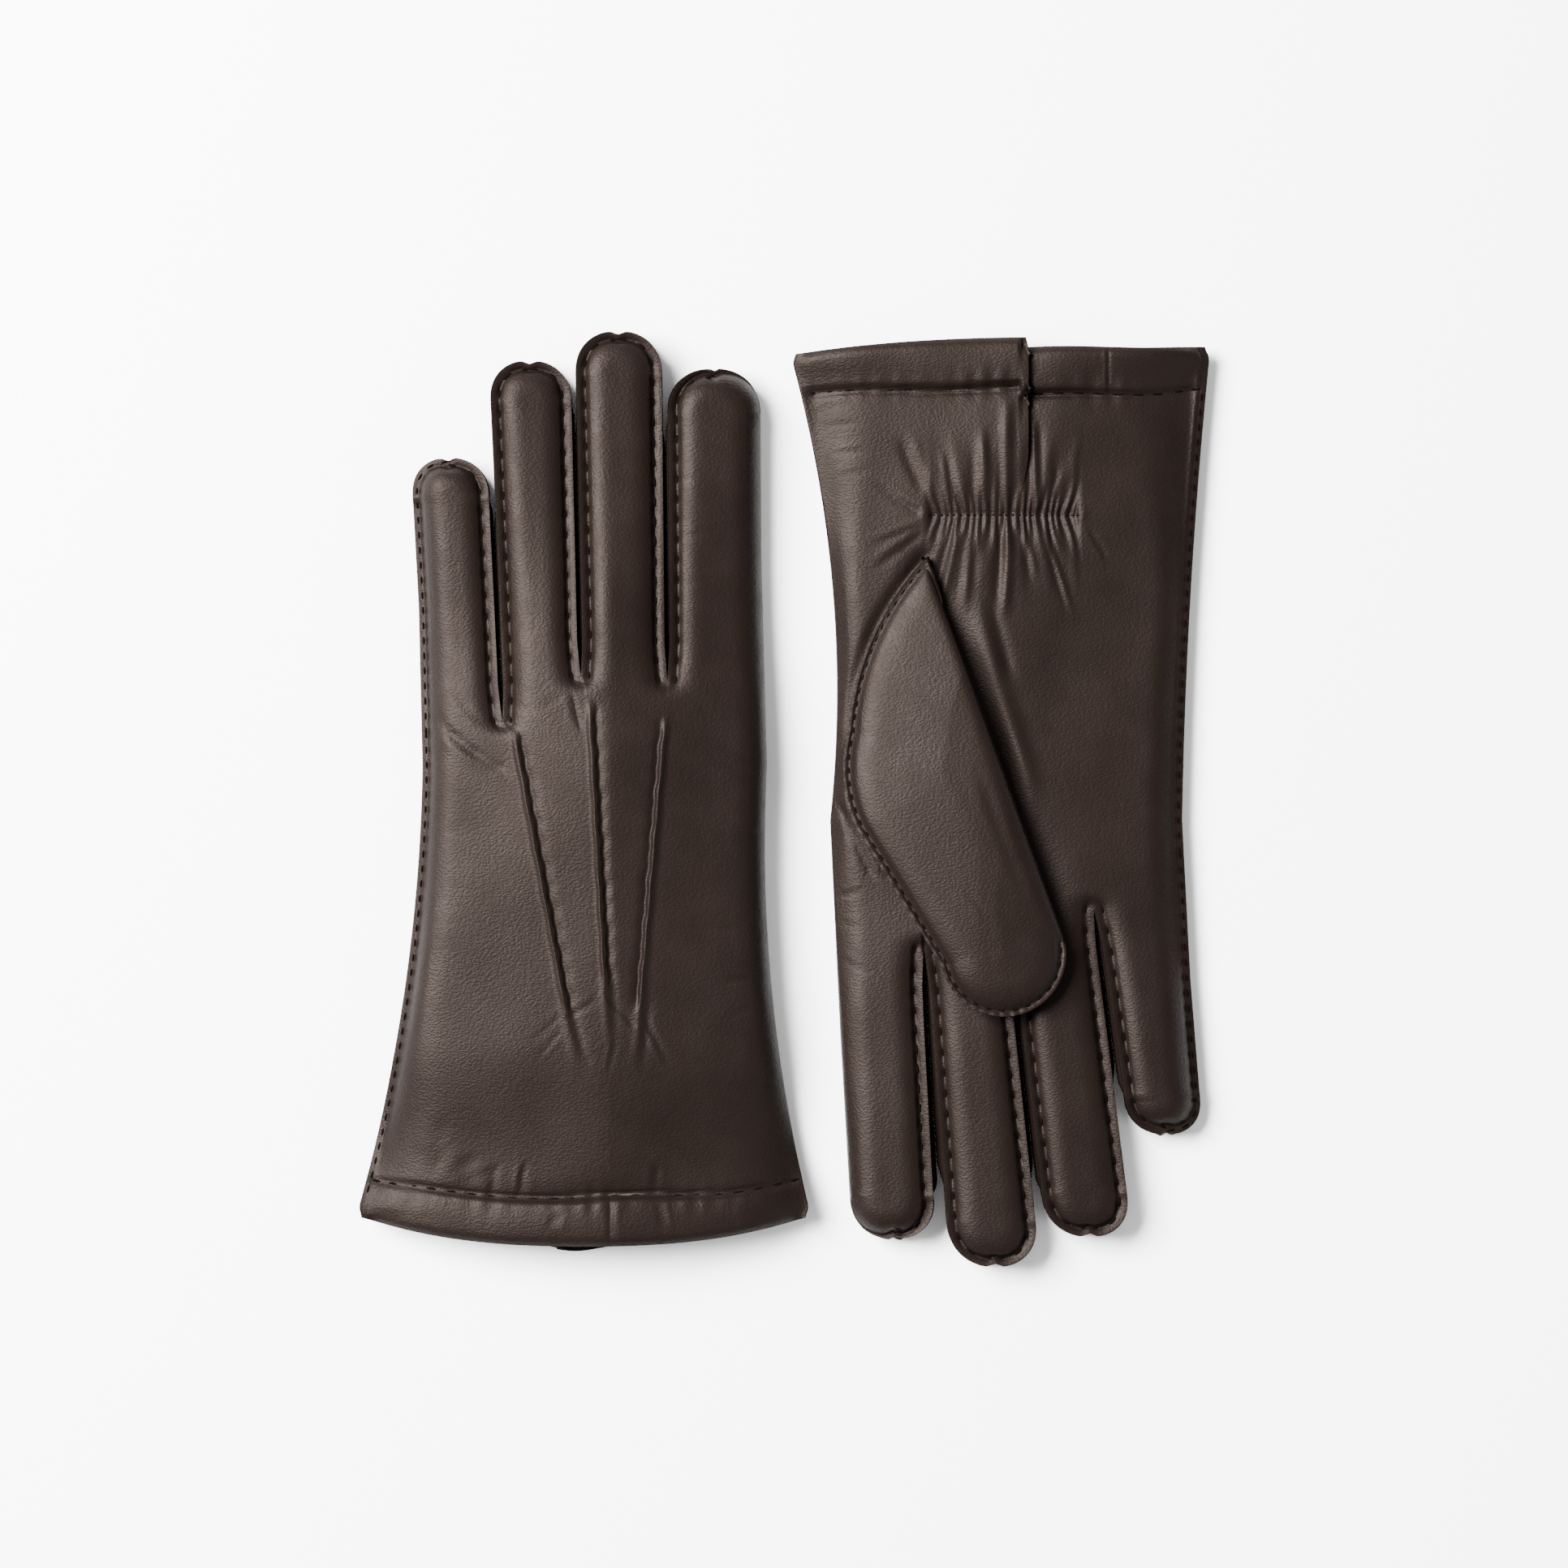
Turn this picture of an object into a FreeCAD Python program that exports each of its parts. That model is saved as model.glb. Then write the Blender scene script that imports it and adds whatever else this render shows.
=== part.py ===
"""A pair of lined leather dress gloves, laid flat side by side, head to tail.

Each glove is drawn in its own frame: u across the hand towards the index finger, v from the cuff
to the fingertips, w from the palm side to the back of the hand. The left glove lies on its palm,
with its thumb folded underneath. The right glove is its mirror image and lies on its back, turned
end for end, with its thumb folded over the palm. Millimetres throughout.
"""

import FreeCAD
import Part
import math
import os

Vector = FreeCAD.Vector

# Materials and construction
leather = 1.0  # thickness of the glove leather
lining = 1.0  # thickness of the knitted lining
layer_gap = 0.1  # air between two layers of one glove
seam_flange = 1.6  # leather that stands outside an outside-sewn seam
tube_height = 12.5  # hand and fingers, from palm side to back
thumb_height = 9.0  # the thumb, lying flat
thumb_gap = 0.4  # between the palm and the thumb that lies on it
joint_gap = 0.4  # from a knuckle's hinge line to the leather on each side of it
crotch_gap = 1.5  # slit between two fingers

# Along the hand, from the cuff
waist_v = 75.0
knuckle_v = 131.0
finger_root_v = 150.0

# Each glove: side is +1 palm down and -1 palm up; place is where the middle of its cuff edge lies;
# half widths run from the centre line, the little finger's side first; spread is the angle between
# the facing edges of neighbouring fingers, in degrees; crotch_v is where each slit ends
gloves = {
    "left": {
        "side": 1,
        "place": (-54.1, -121.8),
        "cuff_half_width": 61.9,
        "cuff_bow": 8.0,
        "cuff_mouth": 18.6,
        "waist": (47.9, 50.7),
        "knuckles": (43.7, 49.8),
        "first_finger_u": -43.5,
        "first_lean": 3.0,
        "spread": (0.25, 0.0, 0.15),
        "crotch_v": (143.0, 155.0, 154.0),
        "fingers": {
            "little": {"root_width": 20.6, "tip_width": 20.8, "length": 64.6, "knuckle": 24.0},
            "ring": {"root_width": 20.2, "tip_width": 21.8, "length": 90.9, "knuckle": 40.0},
            "middle": {"root_width": 21.9, "tip_width": 23.2, "length": 98.9, "knuckle": 45.0},
            "index": {"root_width": 24.8, "tip_width": 25.0, "length": 88.7, "knuckle": 37.0},
        },
    },
    "right": {
        "side": -1,
        "place": (59.0, 125.3),
        "cuff_half_width": 57.0,
        "cuff_bow": 4.5,
        "cuff_mouth": 12.5,
        "waist": (51.5, 45.0),
        "knuckles": (49.5, 46.2),
        "first_finger_u": -49.8,
        "first_lean": 6.5,
        "spread": (1.2, 0.75, 1.2),
        "crotch_v": (155.0, 161.7, 166.0),
        "fingers": {
            "little": {"root_width": 24.3, "tip_width": 20.6, "length": 66.7, "knuckle": 24.0},
            "ring": {"root_width": 22.7, "tip_width": 23.1, "length": 94.7, "knuckle": 40.0},
            "middle": {"root_width": 21.1, "tip_width": 24.0, "length": 102.6, "knuckle": 45.0},
            "index": {"root_width": 22.9, "tip_width": 22.6, "length": 94.8, "knuckle": 37.0},
        },
    },
}

# Thumb: a flat sack sewn in beside the index finger and folded across the palm; its points and
# those of the tucks on the back are given across the hand and from the line of the finger roots
thumb_apex = (20.4, -90.6)
thumb_base_bulge = (34.7, -69.7)
thumb_base_end = (41.3, -43.3)
thumb_shoulder = (42.4, -29.0)
thumb_elbow = (39.0, -17.0)
thumb_tip_outer = (16.0, 20.5)
thumb_tip = (-3.8, 33.7)
thumb_tip_inner = (-17.5, 14.0)
hinge_start = (35.5, -88.0)
hinge_end = (45.0, -28.0)
thumb_mouth = 14.0  # how far the sack's mouth reaches from the hinge line
mouth_margin = 3.0  # the palm's hole stays this far inside the sack's mouth

# Wave of a hand that lies on its thumb: it rises from the cuff and falls to the fingertips
rise_run = 36.0
rise_clear = 3.0  # level stretch between the rise and the thumb
fall_run = 40.0
fall_start = 15.0  # from the line of the finger roots

# Trim
hem_depth = 13.5
hem_leather = 0.9
vent_u = -5.6
vent_width = 1.6
vent_length = 42.0
facing_width = 12.0
facing_start = 22.5
facing_length = 22.5
facing_leather = 0.5
elastic_length = 40.7
elastic_width = 5.0
elastic_thickness = 0.8
elastic_v = 49.0
elastic_u = -0.7
elastic_room = 0.2  # clearance round the elastic in the lining
point_width = 1.3
point_stand = 1.2  # how far a tuck stands above the back of the hand
point_lines = [
    ((-18.6, -10.9), (-4.6, -85.6)),
    ((1.8, -3.5), (5.9, -78.0)),
    ((22.2, -8.0), (15.5, -84.5)),
]
stitch_length = 3.0
stitch_width = 0.7
stitch_pitch = 6.5
stitch_count = 15
beyond = 6.0  # how far a cutting shape runs past what it cuts


class Frame:
    """One glove's own u, v, w, and its place in the layout's X, Y, Z."""

    def __init__(self, name):
        self.name = name
        self.lie = gloves[name]
        self.side = self.lie["side"]
        self.fingers = self.lie["fingers"]
        table = 0.0 if self.side > 0 else tube_height
        self.origin = Vector(self.lie["place"][0], self.lie["place"][1], table)

    def at(self, u, v, w=0.0):
        return self.origin + Vector(u, v, w) * self.side

    def up(self, w):
        return Vector(0, 0, w * self.side)

    def thumb_is_under(self):
        return self.side > 0


def from_roots(point):
    return (point[0], finger_root_v + point[1])


def thumb_lift(frame):
    return thumb_height + thumb_gap if frame.thumb_is_under() else 0.0


def waves(frame):
    """Where the hand rises over the thumb, and where it falls again."""
    rise_end = from_roots(thumb_apex)[1] - rise_clear
    fall = finger_root_v + fall_start
    return (rise_end - rise_run, rise_end), (fall, fall + fall_run)


def levels(frame, surface):
    """Heights of the palm side or the back at the cuff, over the thumb and at the fingertips."""
    lift = thumb_lift(frame)
    if surface == "palm":
        return 0.0, lift, 0.0
    return frame.lie["cuff_mouth"], lift + tube_height, tube_height


def level(frame, surface, v):
    """Height of one surface at v: two equal arcs make each rise and fall."""
    cuff, hand, tips = levels(frame, surface)
    (rise_start, rise_end), (fall, fall_end) = waves(frame)
    if v < rise_end:
        return cuff + s_curve(v - rise_start, rise_end - rise_start, hand - cuff)
    return tips + s_curve(fall_end - v, fall_end - fall, hand - tips)


def s_curve(x, run, climb):
    """Height at x of two equal arcs that climb over run, level before and after."""
    if x <= 0 or climb == 0:
        return 0.0
    if x >= run:
        return climb
    size = abs(climb)
    radius = (run * run + size * size) / (4 * size)
    if x <= run / 2:
        height = radius - math.sqrt(radius * radius - x * x)
    else:
        height = size - (radius - math.sqrt(radius * radius - (run - x) ** 2))
    return math.copysign(height, climb)


def profile(frame, surface, offset):
    """Edges of a surface's side view, moved by offset, from before the cuff to past the tips."""
    u = -2 * frame.lie["cuff_half_width"]
    end = finger_root_v + frame.fingers["middle"]["length"] + beyond

    def point(v):
        return frame.at(u, v, level(frame, surface, v) + offset)

    cuff, hand, tips = levels(frame, surface)
    stretches = [(waves(frame)[0], cuff != hand), (waves(frame)[1], hand != tips)]
    edges, last = [], -beyond
    for (start, finish), bends in stretches:
        if not bends:
            continue
        middle, quarter = (start + finish) / 2, (finish - start) / 4
        edges.append(Part.LineSegment(point(last), point(start)).toShape())
        edges.append(Part.Arc(point(start), point(start + quarter), point(middle)).toShape())
        edges.append(Part.Arc(point(middle), point(middle + quarter), point(finish)).toShape())
        last = finish
    edges.append(Part.LineSegment(point(last), point(end)).toShape())
    return edges


def slab(frame, face, bottom, top):
    """What lies over a plan face between two surfaces, each given as (surface, offset)."""
    low, high = profile(frame, *bottom), profile(frame, *top)
    ends = [
        Part.LineSegment(low[-1].Vertexes[-1].Point, high[-1].Vertexes[-1].Point).toShape(),
        Part.LineSegment(high[0].Vertexes[0].Point, low[0].Vertexes[0].Point).toShape(),
    ]
    side_view = Part.Face(Part.Wire(Part.__sortEdges__(low + high + ends)))
    layer = side_view.extrude(Vector(4 * frame.lie["cuff_half_width"] * frame.side, 0, 0))
    tall = 4 * tube_height + 4 * thumb_height
    return flat_slab(frame, face, -tall, tall).common(layer)


def flat_slab(frame, face, low, high):
    """A plate of a plan face between two level heights."""
    plate = face.copy()
    plate.translate(frame.up(low))
    return plate.extrude(frame.up(high - low))


def palm(offset):
    return ("palm", offset)


def back(offset):
    return ("back", offset)


def polygon(frame, points):
    return Part.Face(Part.makePolygon([frame.at(*p) for p in points] + [frame.at(*points[0])]))


def rectangle(frame, u, v, room=0.0):
    """A plan rectangle between pairs of limits along u and v, grown by room all round."""
    low_u, high_u, low_v, high_v = u[0] - room, u[1] + room, v[0] - room, v[1] + room
    return polygon(frame, [(low_u, low_v), (high_u, low_v), (high_u, high_v), (low_u, high_v)])


def taper(size):
    """Angle between a finger's axis and its edge, in degrees; positive when it widens."""
    widening = (size["tip_width"] - size["root_width"]) / 2
    return math.degrees(math.atan(widening / (size["length"] - size["tip_width"] / 2)))


def finger_axes(frame):
    """Root point and lean of each finger, worked out from the little finger to the index."""
    axes = {}
    edge = frame.lie["first_finger_u"]
    lean = frame.lie["first_lean"]
    before = None
    for i, (name, size) in enumerate(frame.fingers.items()):
        if before is not None:
            lean -= taper(before) + taper(size) + frame.lie["spread"][i - 1]
        axes[name] = (edge + size["root_width"] / 2, lean)
        edge += size["root_width"] + crotch_gap
        before = size
    return axes


def finger_directions(frame, finger):
    """Root point, unit vector to the tip and unit vector to the index side, in u and v."""
    root_u, lean = finger_axes(frame)[finger]
    angle = math.radians(lean)
    forward, sideways = (-math.sin(angle), math.cos(angle)), (math.cos(angle), math.sin(angle))
    return (root_u, finger_root_v), forward, sideways


def finger_point(frame, finger, along, across):
    root, forward, sideways = finger_directions(frame, finger)
    return tuple(root[i] + forward[i] * along + sideways[i] * across for i in (0, 1))


def finger_edge(frame, finger, along, inset, hand):
    """Point on the finger's side: hand is -1 for the little finger's side and +1 for the other."""
    size = frame.fingers[finger]
    share = along / (size["length"] - size["tip_width"] / 2)
    half = (size["root_width"] + (size["tip_width"] - size["root_width"]) * share) / 2 - inset
    return finger_point(frame, finger, along, hand * half)


def fingertip_face(frame, finger, inset, start):
    """Plan of a finger from start to its round tip, drawn in from the outline by inset."""
    size = frame.fingers[finger]
    tip_centre = size["length"] - size["tip_width"] / 2
    low_a = frame.at(*finger_edge(frame, finger, start, inset, -1))
    tip_a = frame.at(*finger_edge(frame, finger, tip_centre, inset, -1))
    top = frame.at(*finger_point(frame, finger, size["length"] - inset, 0))
    tip_b = frame.at(*finger_edge(frame, finger, tip_centre, inset, 1))
    low_b = frame.at(*finger_edge(frame, finger, start, inset, 1))
    edges = [
        Part.LineSegment(low_a, tip_a).toShape(),
        Part.Arc(tip_a, top, tip_b).toShape(),
        Part.LineSegment(tip_b, low_b).toShape(),
        Part.LineSegment(low_b, low_a).toShape(),
    ]
    return Part.Face(Part.Wire(edges))


def crotch_points(frame):
    """The bottom of the slit between each pair of neighbouring fingers."""
    names = list(frame.fingers)
    axes = finger_axes(frame)
    points = []
    for i, v in enumerate(frame.lie["crotch_v"]):
        one, other = names[i], names[i + 1]
        middle = axes[one][0] + (frame.fingers[one]["root_width"] + crotch_gap) / 2
        lean = math.radians((axes[one][1] + axes[other][1]) / 2)
        points.append((middle - math.tan(lean) * (v - finger_root_v), v))
    return points


def hand_face(frame, inset, past_cuff=0.0, past_knuckles=0.0):
    """Plan of the hand and the finger roots up to the middle knuckles, drawn in by inset.

    A face that cuts a hollow runs past the cuff, and past the knuckles.
    """
    cuff_u, bow = frame.lie["cuff_half_width"] - inset, frame.lie["cuff_bow"]
    waist_a, waist_b = (w - inset for w in frame.lie["waist"])
    knuckle_a, knuckle_b = (w - inset for w in frame.lie["knuckles"])
    half_gap = crotch_gap / 2 + inset
    edges = []

    def line(a, b):
        edges.append(Part.LineSegment(frame.at(*a), frame.at(*b)).toShape())

    def arc(a, b, c):
        edges.append(Part.Arc(frame.at(*a), frame.at(*b), frame.at(*c)).toShape())

    arc((-cuff_u, bow), (-waist_a, waist_v), (-knuckle_a, knuckle_v))
    last = (-knuckle_a, knuckle_v)
    crotches = crotch_points(frame)
    for i, (finger, size) in enumerate(frame.fingers.items()):
        end = size["knuckle"] - joint_gap + past_knuckles
        line(last, finger_edge(frame, finger, end, inset, -1))
        last = finger_edge(frame, finger, end, inset, 1)
        line(finger_edge(frame, finger, end, inset, -1), last)
        if i < len(crotches):
            u, v = crotches[i]
            line(last, (u - half_gap, v))
            arc((u - half_gap, v), (u, v - half_gap), (u + half_gap, v))
            last = (u + half_gap, v)
    line(last, (knuckle_b, knuckle_v))
    arc((knuckle_b, knuckle_v), (waist_b, waist_v), (cuff_u, bow))
    if past_cuff > 0:
        line((cuff_u, bow), (cuff_u, -past_cuff))
        line((cuff_u, -past_cuff), (-cuff_u, -past_cuff))
        line((-cuff_u, -past_cuff), (-cuff_u, bow))
    else:
        arc((cuff_u, bow), (0, 0), (-cuff_u, bow))
    return Part.Face(Part.Wire(edges))


def cuff_face(frame, depth):
    """Plan of everything within depth of the cuff's edge."""
    u, bow = frame.lie["cuff_half_width"], frame.lie["cuff_bow"]
    edges = [
        Part.Arc(frame.at(-u, bow + depth), frame.at(0, depth), frame.at(u, bow + depth)).toShape(),
        Part.LineSegment(frame.at(u, bow + depth), frame.at(u, -beyond)).toShape(),
        Part.LineSegment(frame.at(u, -beyond), frame.at(-u, -beyond)).toShape(),
        Part.LineSegment(frame.at(-u, -beyond), frame.at(-u, bow + depth)).toShape(),
    ]
    return Part.Face(Part.Wire(edges))


def stitches(frame, bottom, top):
    """Hem stitches through one side of the cuff, following the bow of its edge."""
    found = []
    for i in range(stitch_count):
        u = (i - (stitch_count - 1) / 2) * stitch_pitch
        if abs(u - vent_u) < stitch_length:
            continue
        v = hem_depth - stitch_width + frame.lie["cuff_bow"] * (u / frame.lie["cuff_half_width"]) ** 2
        across = (u - stitch_length / 2, u + stitch_length / 2)
        plan = rectangle(frame, across, (v - stitch_width / 2, v + stitch_width / 2))
        found.append(slab(frame, plan, bottom, top))
    return found


def tucks(frame):
    """The three raised tucks on the back of the hand; they lie flat where the back is underneath."""
    stand = point_stand if frame.thumb_is_under() else 0.0
    found = []
    for line in point_lines:
        start, end = from_roots(line[0]), from_roots(line[1])
        du, dv = end[0] - start[0], end[1] - start[1]
        length = math.hypot(du, dv)
        side_u, side_v = dv / length * point_width / 2, -du / length * point_width / 2
        corners = [
            (start[0] - side_u, start[1] - side_v),
            (end[0] - side_u, end[1] - side_v),
            (end[0] + side_u, end[1] + side_v),
            (start[0] + side_u, start[1] + side_v),
        ]
        found.append(slab(frame, polygon(frame, corners), back(-leather), back(stand)))
    return found


def thumb_face(frame, inset):
    """Plan of the thumb, drawn in from its outline by inset."""
    apex, bulge, base_end, shoulder, elbow, tip_outer, tip, tip_inner = (
        frame.at(*from_roots(p))
        for p in (thumb_apex, thumb_base_bulge, thumb_base_end, thumb_shoulder, thumb_elbow,
                  thumb_tip_outer, thumb_tip, thumb_tip_inner)
    )
    edges = [
        Part.Arc(apex, bulge, base_end).toShape(),
        Part.Arc(base_end, shoulder, elbow).toShape(),
        Part.LineSegment(elbow, tip_outer).toShape(),
        Part.Arc(tip_outer, tip, tip_inner).toShape(),
        Part.LineSegment(tip_inner, apex).toShape(),
    ]
    wire = Part.Wire(edges)
    if inset > 0:
        wire = wire.makeOffset2D(-inset)
    return Part.Face(wire)


def hinge_directions():
    """Unit vectors along the thumb's hinge line and from it towards the thumb, and its length."""
    du, dv = hinge_end[0] - hinge_start[0], hinge_end[1] - hinge_start[1]
    length = math.hypot(du, dv)
    along = (du / length, dv / length)
    return along, (-along[1], along[0]), length


def hinge_strip(frame, near, far, start, end):
    """Plan strip beside the thumb's hinge line, from near to far of it and from start to end."""
    along, inward, _ = hinge_directions()
    root = from_roots(hinge_start)
    points = []
    for a, n in [(start, near), (end, near), (end, far), (start, far)]:
        points.append(tuple(root[i] + along[i] * a + inward[i] * n for i in (0, 1)))
    return polygon(frame, points)


def thumb_hole(frame, clearance):
    """The hole in the palm that the thumb opens into."""
    _, _, length = hinge_directions()
    margin = mouth_margin - clearance
    strip = hinge_strip(frame, margin, thumb_mouth - margin, length / 3 - clearance, length - margin)
    return slab(frame, strip, palm(-beyond), palm(tube_height / 2))


def thumb_layer(frame, face, low, high):
    """Slab of the thumb, from low to high counted from its palm side outwards."""
    limit = flat_slab(frame, face, thumb_lift(frame) - thumb_gap - high, thumb_lift(frame))
    return slab(frame, face, palm(-2 * tube_height), palm(-low - thumb_gap)).common(limit)


def hand_parts(frame):
    outline = hand_face(frame, 0)
    wall_out = hand_face(frame, seam_flange)
    wall_in = hand_face(frame, seam_flange + leather, beyond, beyond)
    inner = seam_flange + leather + layer_gap
    low, high = palm(leather + layer_gap), back(-leather - layer_gap)
    vent_limits = (vent_u - vent_width / 2, vent_u + vent_width / 2)
    vent = slab(frame, rectangle(frame, vent_limits, (-beyond, vent_length)), palm(-beyond),
                palm(tube_height / 2))

    points = tucks(frame)
    back_stitches = stitches(frame, back(-leather), back(0))
    palm_stitches = stitches(frame, palm(0), palm(leather))
    back_leather = slab(frame, outline, back(-leather), back(0)).cut(points + back_stitches)
    palm_leather = slab(frame, outline, palm(0), palm(leather))
    palm_leather = palm_leather.cut([thumb_hole(frame, 0), vent] + palm_stitches)

    walls = slab(frame, wall_out, palm(leather), back(-leather))
    walls = walls.cut(slab(frame, wall_in, palm(-beyond), back(beyond)))
    ordered = sorted(walls.Solids, key=lambda s: s.CenterOfMass.x * frame.side)

    hem = slab(frame, hand_face(frame, inner), low, high).common(
        slab(frame, cuff_face(frame, hem_depth), palm(-beyond), back(beyond)))
    hem_hollow = slab(frame, hand_face(frame, inner + hem_leather, beyond, beyond),
                      palm(low[1] + hem_leather), back(high[1] - hem_leather))

    facing_plan = ((vent_u - facing_width / 2, vent_u + facing_width / 2),
                   (facing_start, facing_start + facing_length))
    facing = slab(frame, rectangle(frame, *facing_plan), low, palm(low[1] + facing_leather))
    facing_room = slab(frame, rectangle(frame, *facing_plan, layer_gap), palm(0),
                       palm(low[1] + facing_leather + layer_gap))

    elastic_plan = ((elastic_u - elastic_length / 2, elastic_u + elastic_length / 2),
                    (elastic_v - elastic_width / 2, elastic_v + elastic_width / 2))
    elastic = slab(frame, rectangle(frame, *elastic_plan), low, palm(low[1] + elastic_thickness))
    pocket = slab(frame, rectangle(frame, *elastic_plan, elastic_room), palm(0),
                  palm(low[1] + elastic_thickness + elastic_room))

    cloth = slab(frame, hand_face(frame, inner), low, high)
    hollow = slab(frame, hand_face(frame, inner + lining, beyond, beyond),
                  palm(low[1] + lining), back(high[1] - lining))
    hem_room = slab(frame, cuff_face(frame, hem_depth + layer_gap), palm(-beyond), back(beyond))
    return {
        "back_leather": back_leather,
        "palm_leather": palm_leather,
        "side_edges": Part.makeCompound([ordered[0], ordered[-1]]),
        "base_fourchettes": Part.makeCompound(ordered[1:-1]),
        "cuff_hem": hem.cut([hem_hollow, vent]),
        "hand_lining": cloth.cut([hollow, hem_room, facing_room, pocket, thumb_hole(frame, layer_gap), vent]),
        "vent_facing": facing.cut(vent),
        "wrist_elastic": elastic,
        "back_points": Part.makeCompound(points),
        "hem_stitches": Part.makeCompound(back_stitches + palm_stitches),
    }


def finger_parts(frame, finger):
    start = frame.fingers[finger]["knuckle"] + joint_gap
    outline = fingertip_face(frame, finger, 0, start)
    inner = seam_flange + leather + layer_gap
    low, high = palm(leather + layer_gap), back(-leather - layer_gap)
    walls = slab(frame, fingertip_face(frame, finger, seam_flange, start), palm(leather), back(-leather))
    walls_hollow = fingertip_face(frame, finger, seam_flange + leather, start - beyond)
    cloth = slab(frame, fingertip_face(frame, finger, inner, start), low, high)
    hollow = slab(frame, fingertip_face(frame, finger, inner + lining, start - beyond),
                  palm(low[1] + lining), back(high[1] - lining))
    return {
        finger + "_back_strip": slab(frame, outline, back(-leather), back(0)),
        finger + "_palm_strip": slab(frame, outline, palm(0), palm(leather)),
        finger + "_fourchettes": walls.cut(slab(frame, walls_hollow, palm(-beyond), back(beyond))),
        finger + "_lining": cloth.cut(hollow),
    }


def thumb_parts(frame):
    _, _, length = hinge_directions()
    outline = thumb_face(frame, 0)
    mouth = hinge_strip(frame, -beyond, thumb_mouth, -length, 2 * length)
    tall = 2 * (tube_height + thumb_height)
    mouth_column = flat_slab(frame, mouth, -tall, tall)
    inner_panel = slab(frame, outline, palm(-thumb_gap - leather), palm(-thumb_gap))
    walls = thumb_layer(frame, thumb_face(frame, seam_flange), leather, thumb_height - leather)
    walls_hollow = flat_slab(frame, thumb_face(frame, seam_flange + leather), -tall, tall)
    inner = seam_flange + leather + layer_gap
    low, high = leather + layer_gap, thumb_height - leather - layer_gap
    inside = thumb_face(frame, inner + lining)
    cloth = thumb_layer(frame, thumb_face(frame, inner), low, high)
    hollow = thumb_layer(frame, inside, low + lining, high - lining)
    opening = thumb_layer(frame, inside, 0, high - lining).common(mouth_column)
    return {
        "thumb_outer_panel": thumb_layer(frame, outline, thumb_height - leather, thumb_height),
        "thumb_inner_panel": inner_panel.cut(mouth_column),
        "thumb_side_wall": walls.cut(walls_hollow),
        "thumb_lining": cloth.cut([hollow, opening]),
    }


def joint_lines(frame):
    """Each hinge's point and direction: finger knuckles on the palm side, and the thumb's base."""
    lines = {}
    for finger, size in frame.fingers.items():
        u, v = finger_point(frame, finger, size["knuckle"], 0)
        _, _, sideways = finger_directions(frame, finger)
        lines[finger] = (frame.at(u, v, level(frame, "palm", v)), frame.at(*sideways) - frame.at(0, 0))
    along, _, _ = hinge_directions()
    u, v = from_roots(hinge_start)
    point = frame.at(u, v, thumb_lift(frame) - thumb_gap / 2)
    lines["thumb"] = (point, frame.at(*along) - frame.at(0, 0))
    return lines


def build():
    """Every node's shape in the layout, and each glove's frame."""
    shapes, frames = {}, {}
    for name in gloves:
        frame = Frame(name)
        frames[name] = frame
        parts = hand_parts(frame)
        for finger in frame.fingers:
            parts.update(finger_parts(frame, finger))
        parts.update(thumb_parts(frame))
        for node, shape in parts.items():
            shapes[name + "_" + node] = shape
    return shapes, frames


shapes, frames = build()
bounds = FreeCAD.BoundBox()
for shape in shapes.values():
    bounds.add(shape.BoundBox)
# The pair's origin is on the table, under the middle of its box
shift = Vector(-bounds.Center.x, -bounds.Center.y, -bounds.ZMin)
os.makedirs("parts", exist_ok=True)
for node, shape in shapes.items():
    shape.translate(shift)
    shape.exportStep("parts/" + node + ".step")
for name, frame in frames.items():
    for hinge, (point, direction) in joint_lines(frame).items():
        place = point + shift
        print(name, hinge, [round(x, 3) for x in place], [round(x, 5) for x in direction])
print(len(shapes), "nodes,", "box", bounds.XLength, bounds.YLength, bounds.ZLength)
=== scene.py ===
import bpy
import math
import numpy as np
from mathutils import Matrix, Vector


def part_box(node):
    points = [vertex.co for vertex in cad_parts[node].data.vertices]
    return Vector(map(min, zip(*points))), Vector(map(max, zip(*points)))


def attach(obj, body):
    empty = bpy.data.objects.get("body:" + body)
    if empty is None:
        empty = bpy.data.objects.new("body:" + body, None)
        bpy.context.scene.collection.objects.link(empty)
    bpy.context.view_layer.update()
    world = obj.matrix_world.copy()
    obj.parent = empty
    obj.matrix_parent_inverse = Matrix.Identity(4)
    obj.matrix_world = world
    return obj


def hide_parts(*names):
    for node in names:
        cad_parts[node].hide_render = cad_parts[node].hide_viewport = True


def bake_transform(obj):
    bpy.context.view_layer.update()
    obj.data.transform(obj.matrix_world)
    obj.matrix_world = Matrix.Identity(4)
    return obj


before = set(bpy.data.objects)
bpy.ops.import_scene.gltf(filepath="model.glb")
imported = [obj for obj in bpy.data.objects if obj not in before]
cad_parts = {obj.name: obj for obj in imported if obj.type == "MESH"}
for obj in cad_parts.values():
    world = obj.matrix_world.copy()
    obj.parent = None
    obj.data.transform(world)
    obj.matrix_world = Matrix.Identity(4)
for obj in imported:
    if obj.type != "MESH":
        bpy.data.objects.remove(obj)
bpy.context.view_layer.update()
mm = 0.001

# Everything below is drawn in a glove's own millimetres: u across the hand to the index finger,
# v from the cuff to the fingertips, w from the palm side to the back of the hand.
handShape = {
    "waistV": 75.0, "knuckleV": 131.0, "rootV": 150.0, "splitV": 140.0, "sharedV": 172.0, "slit": 1.5,
    "leather": 0.9, "rise": (20.4, 56.4), "fall": (122.0, 250.0), "backFall": 0.82, "thumbGap": 0.4,
    # the cuff's corners are rounded off: how much, and over what height
    "corner": (1.5, 3.6),
}
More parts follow.
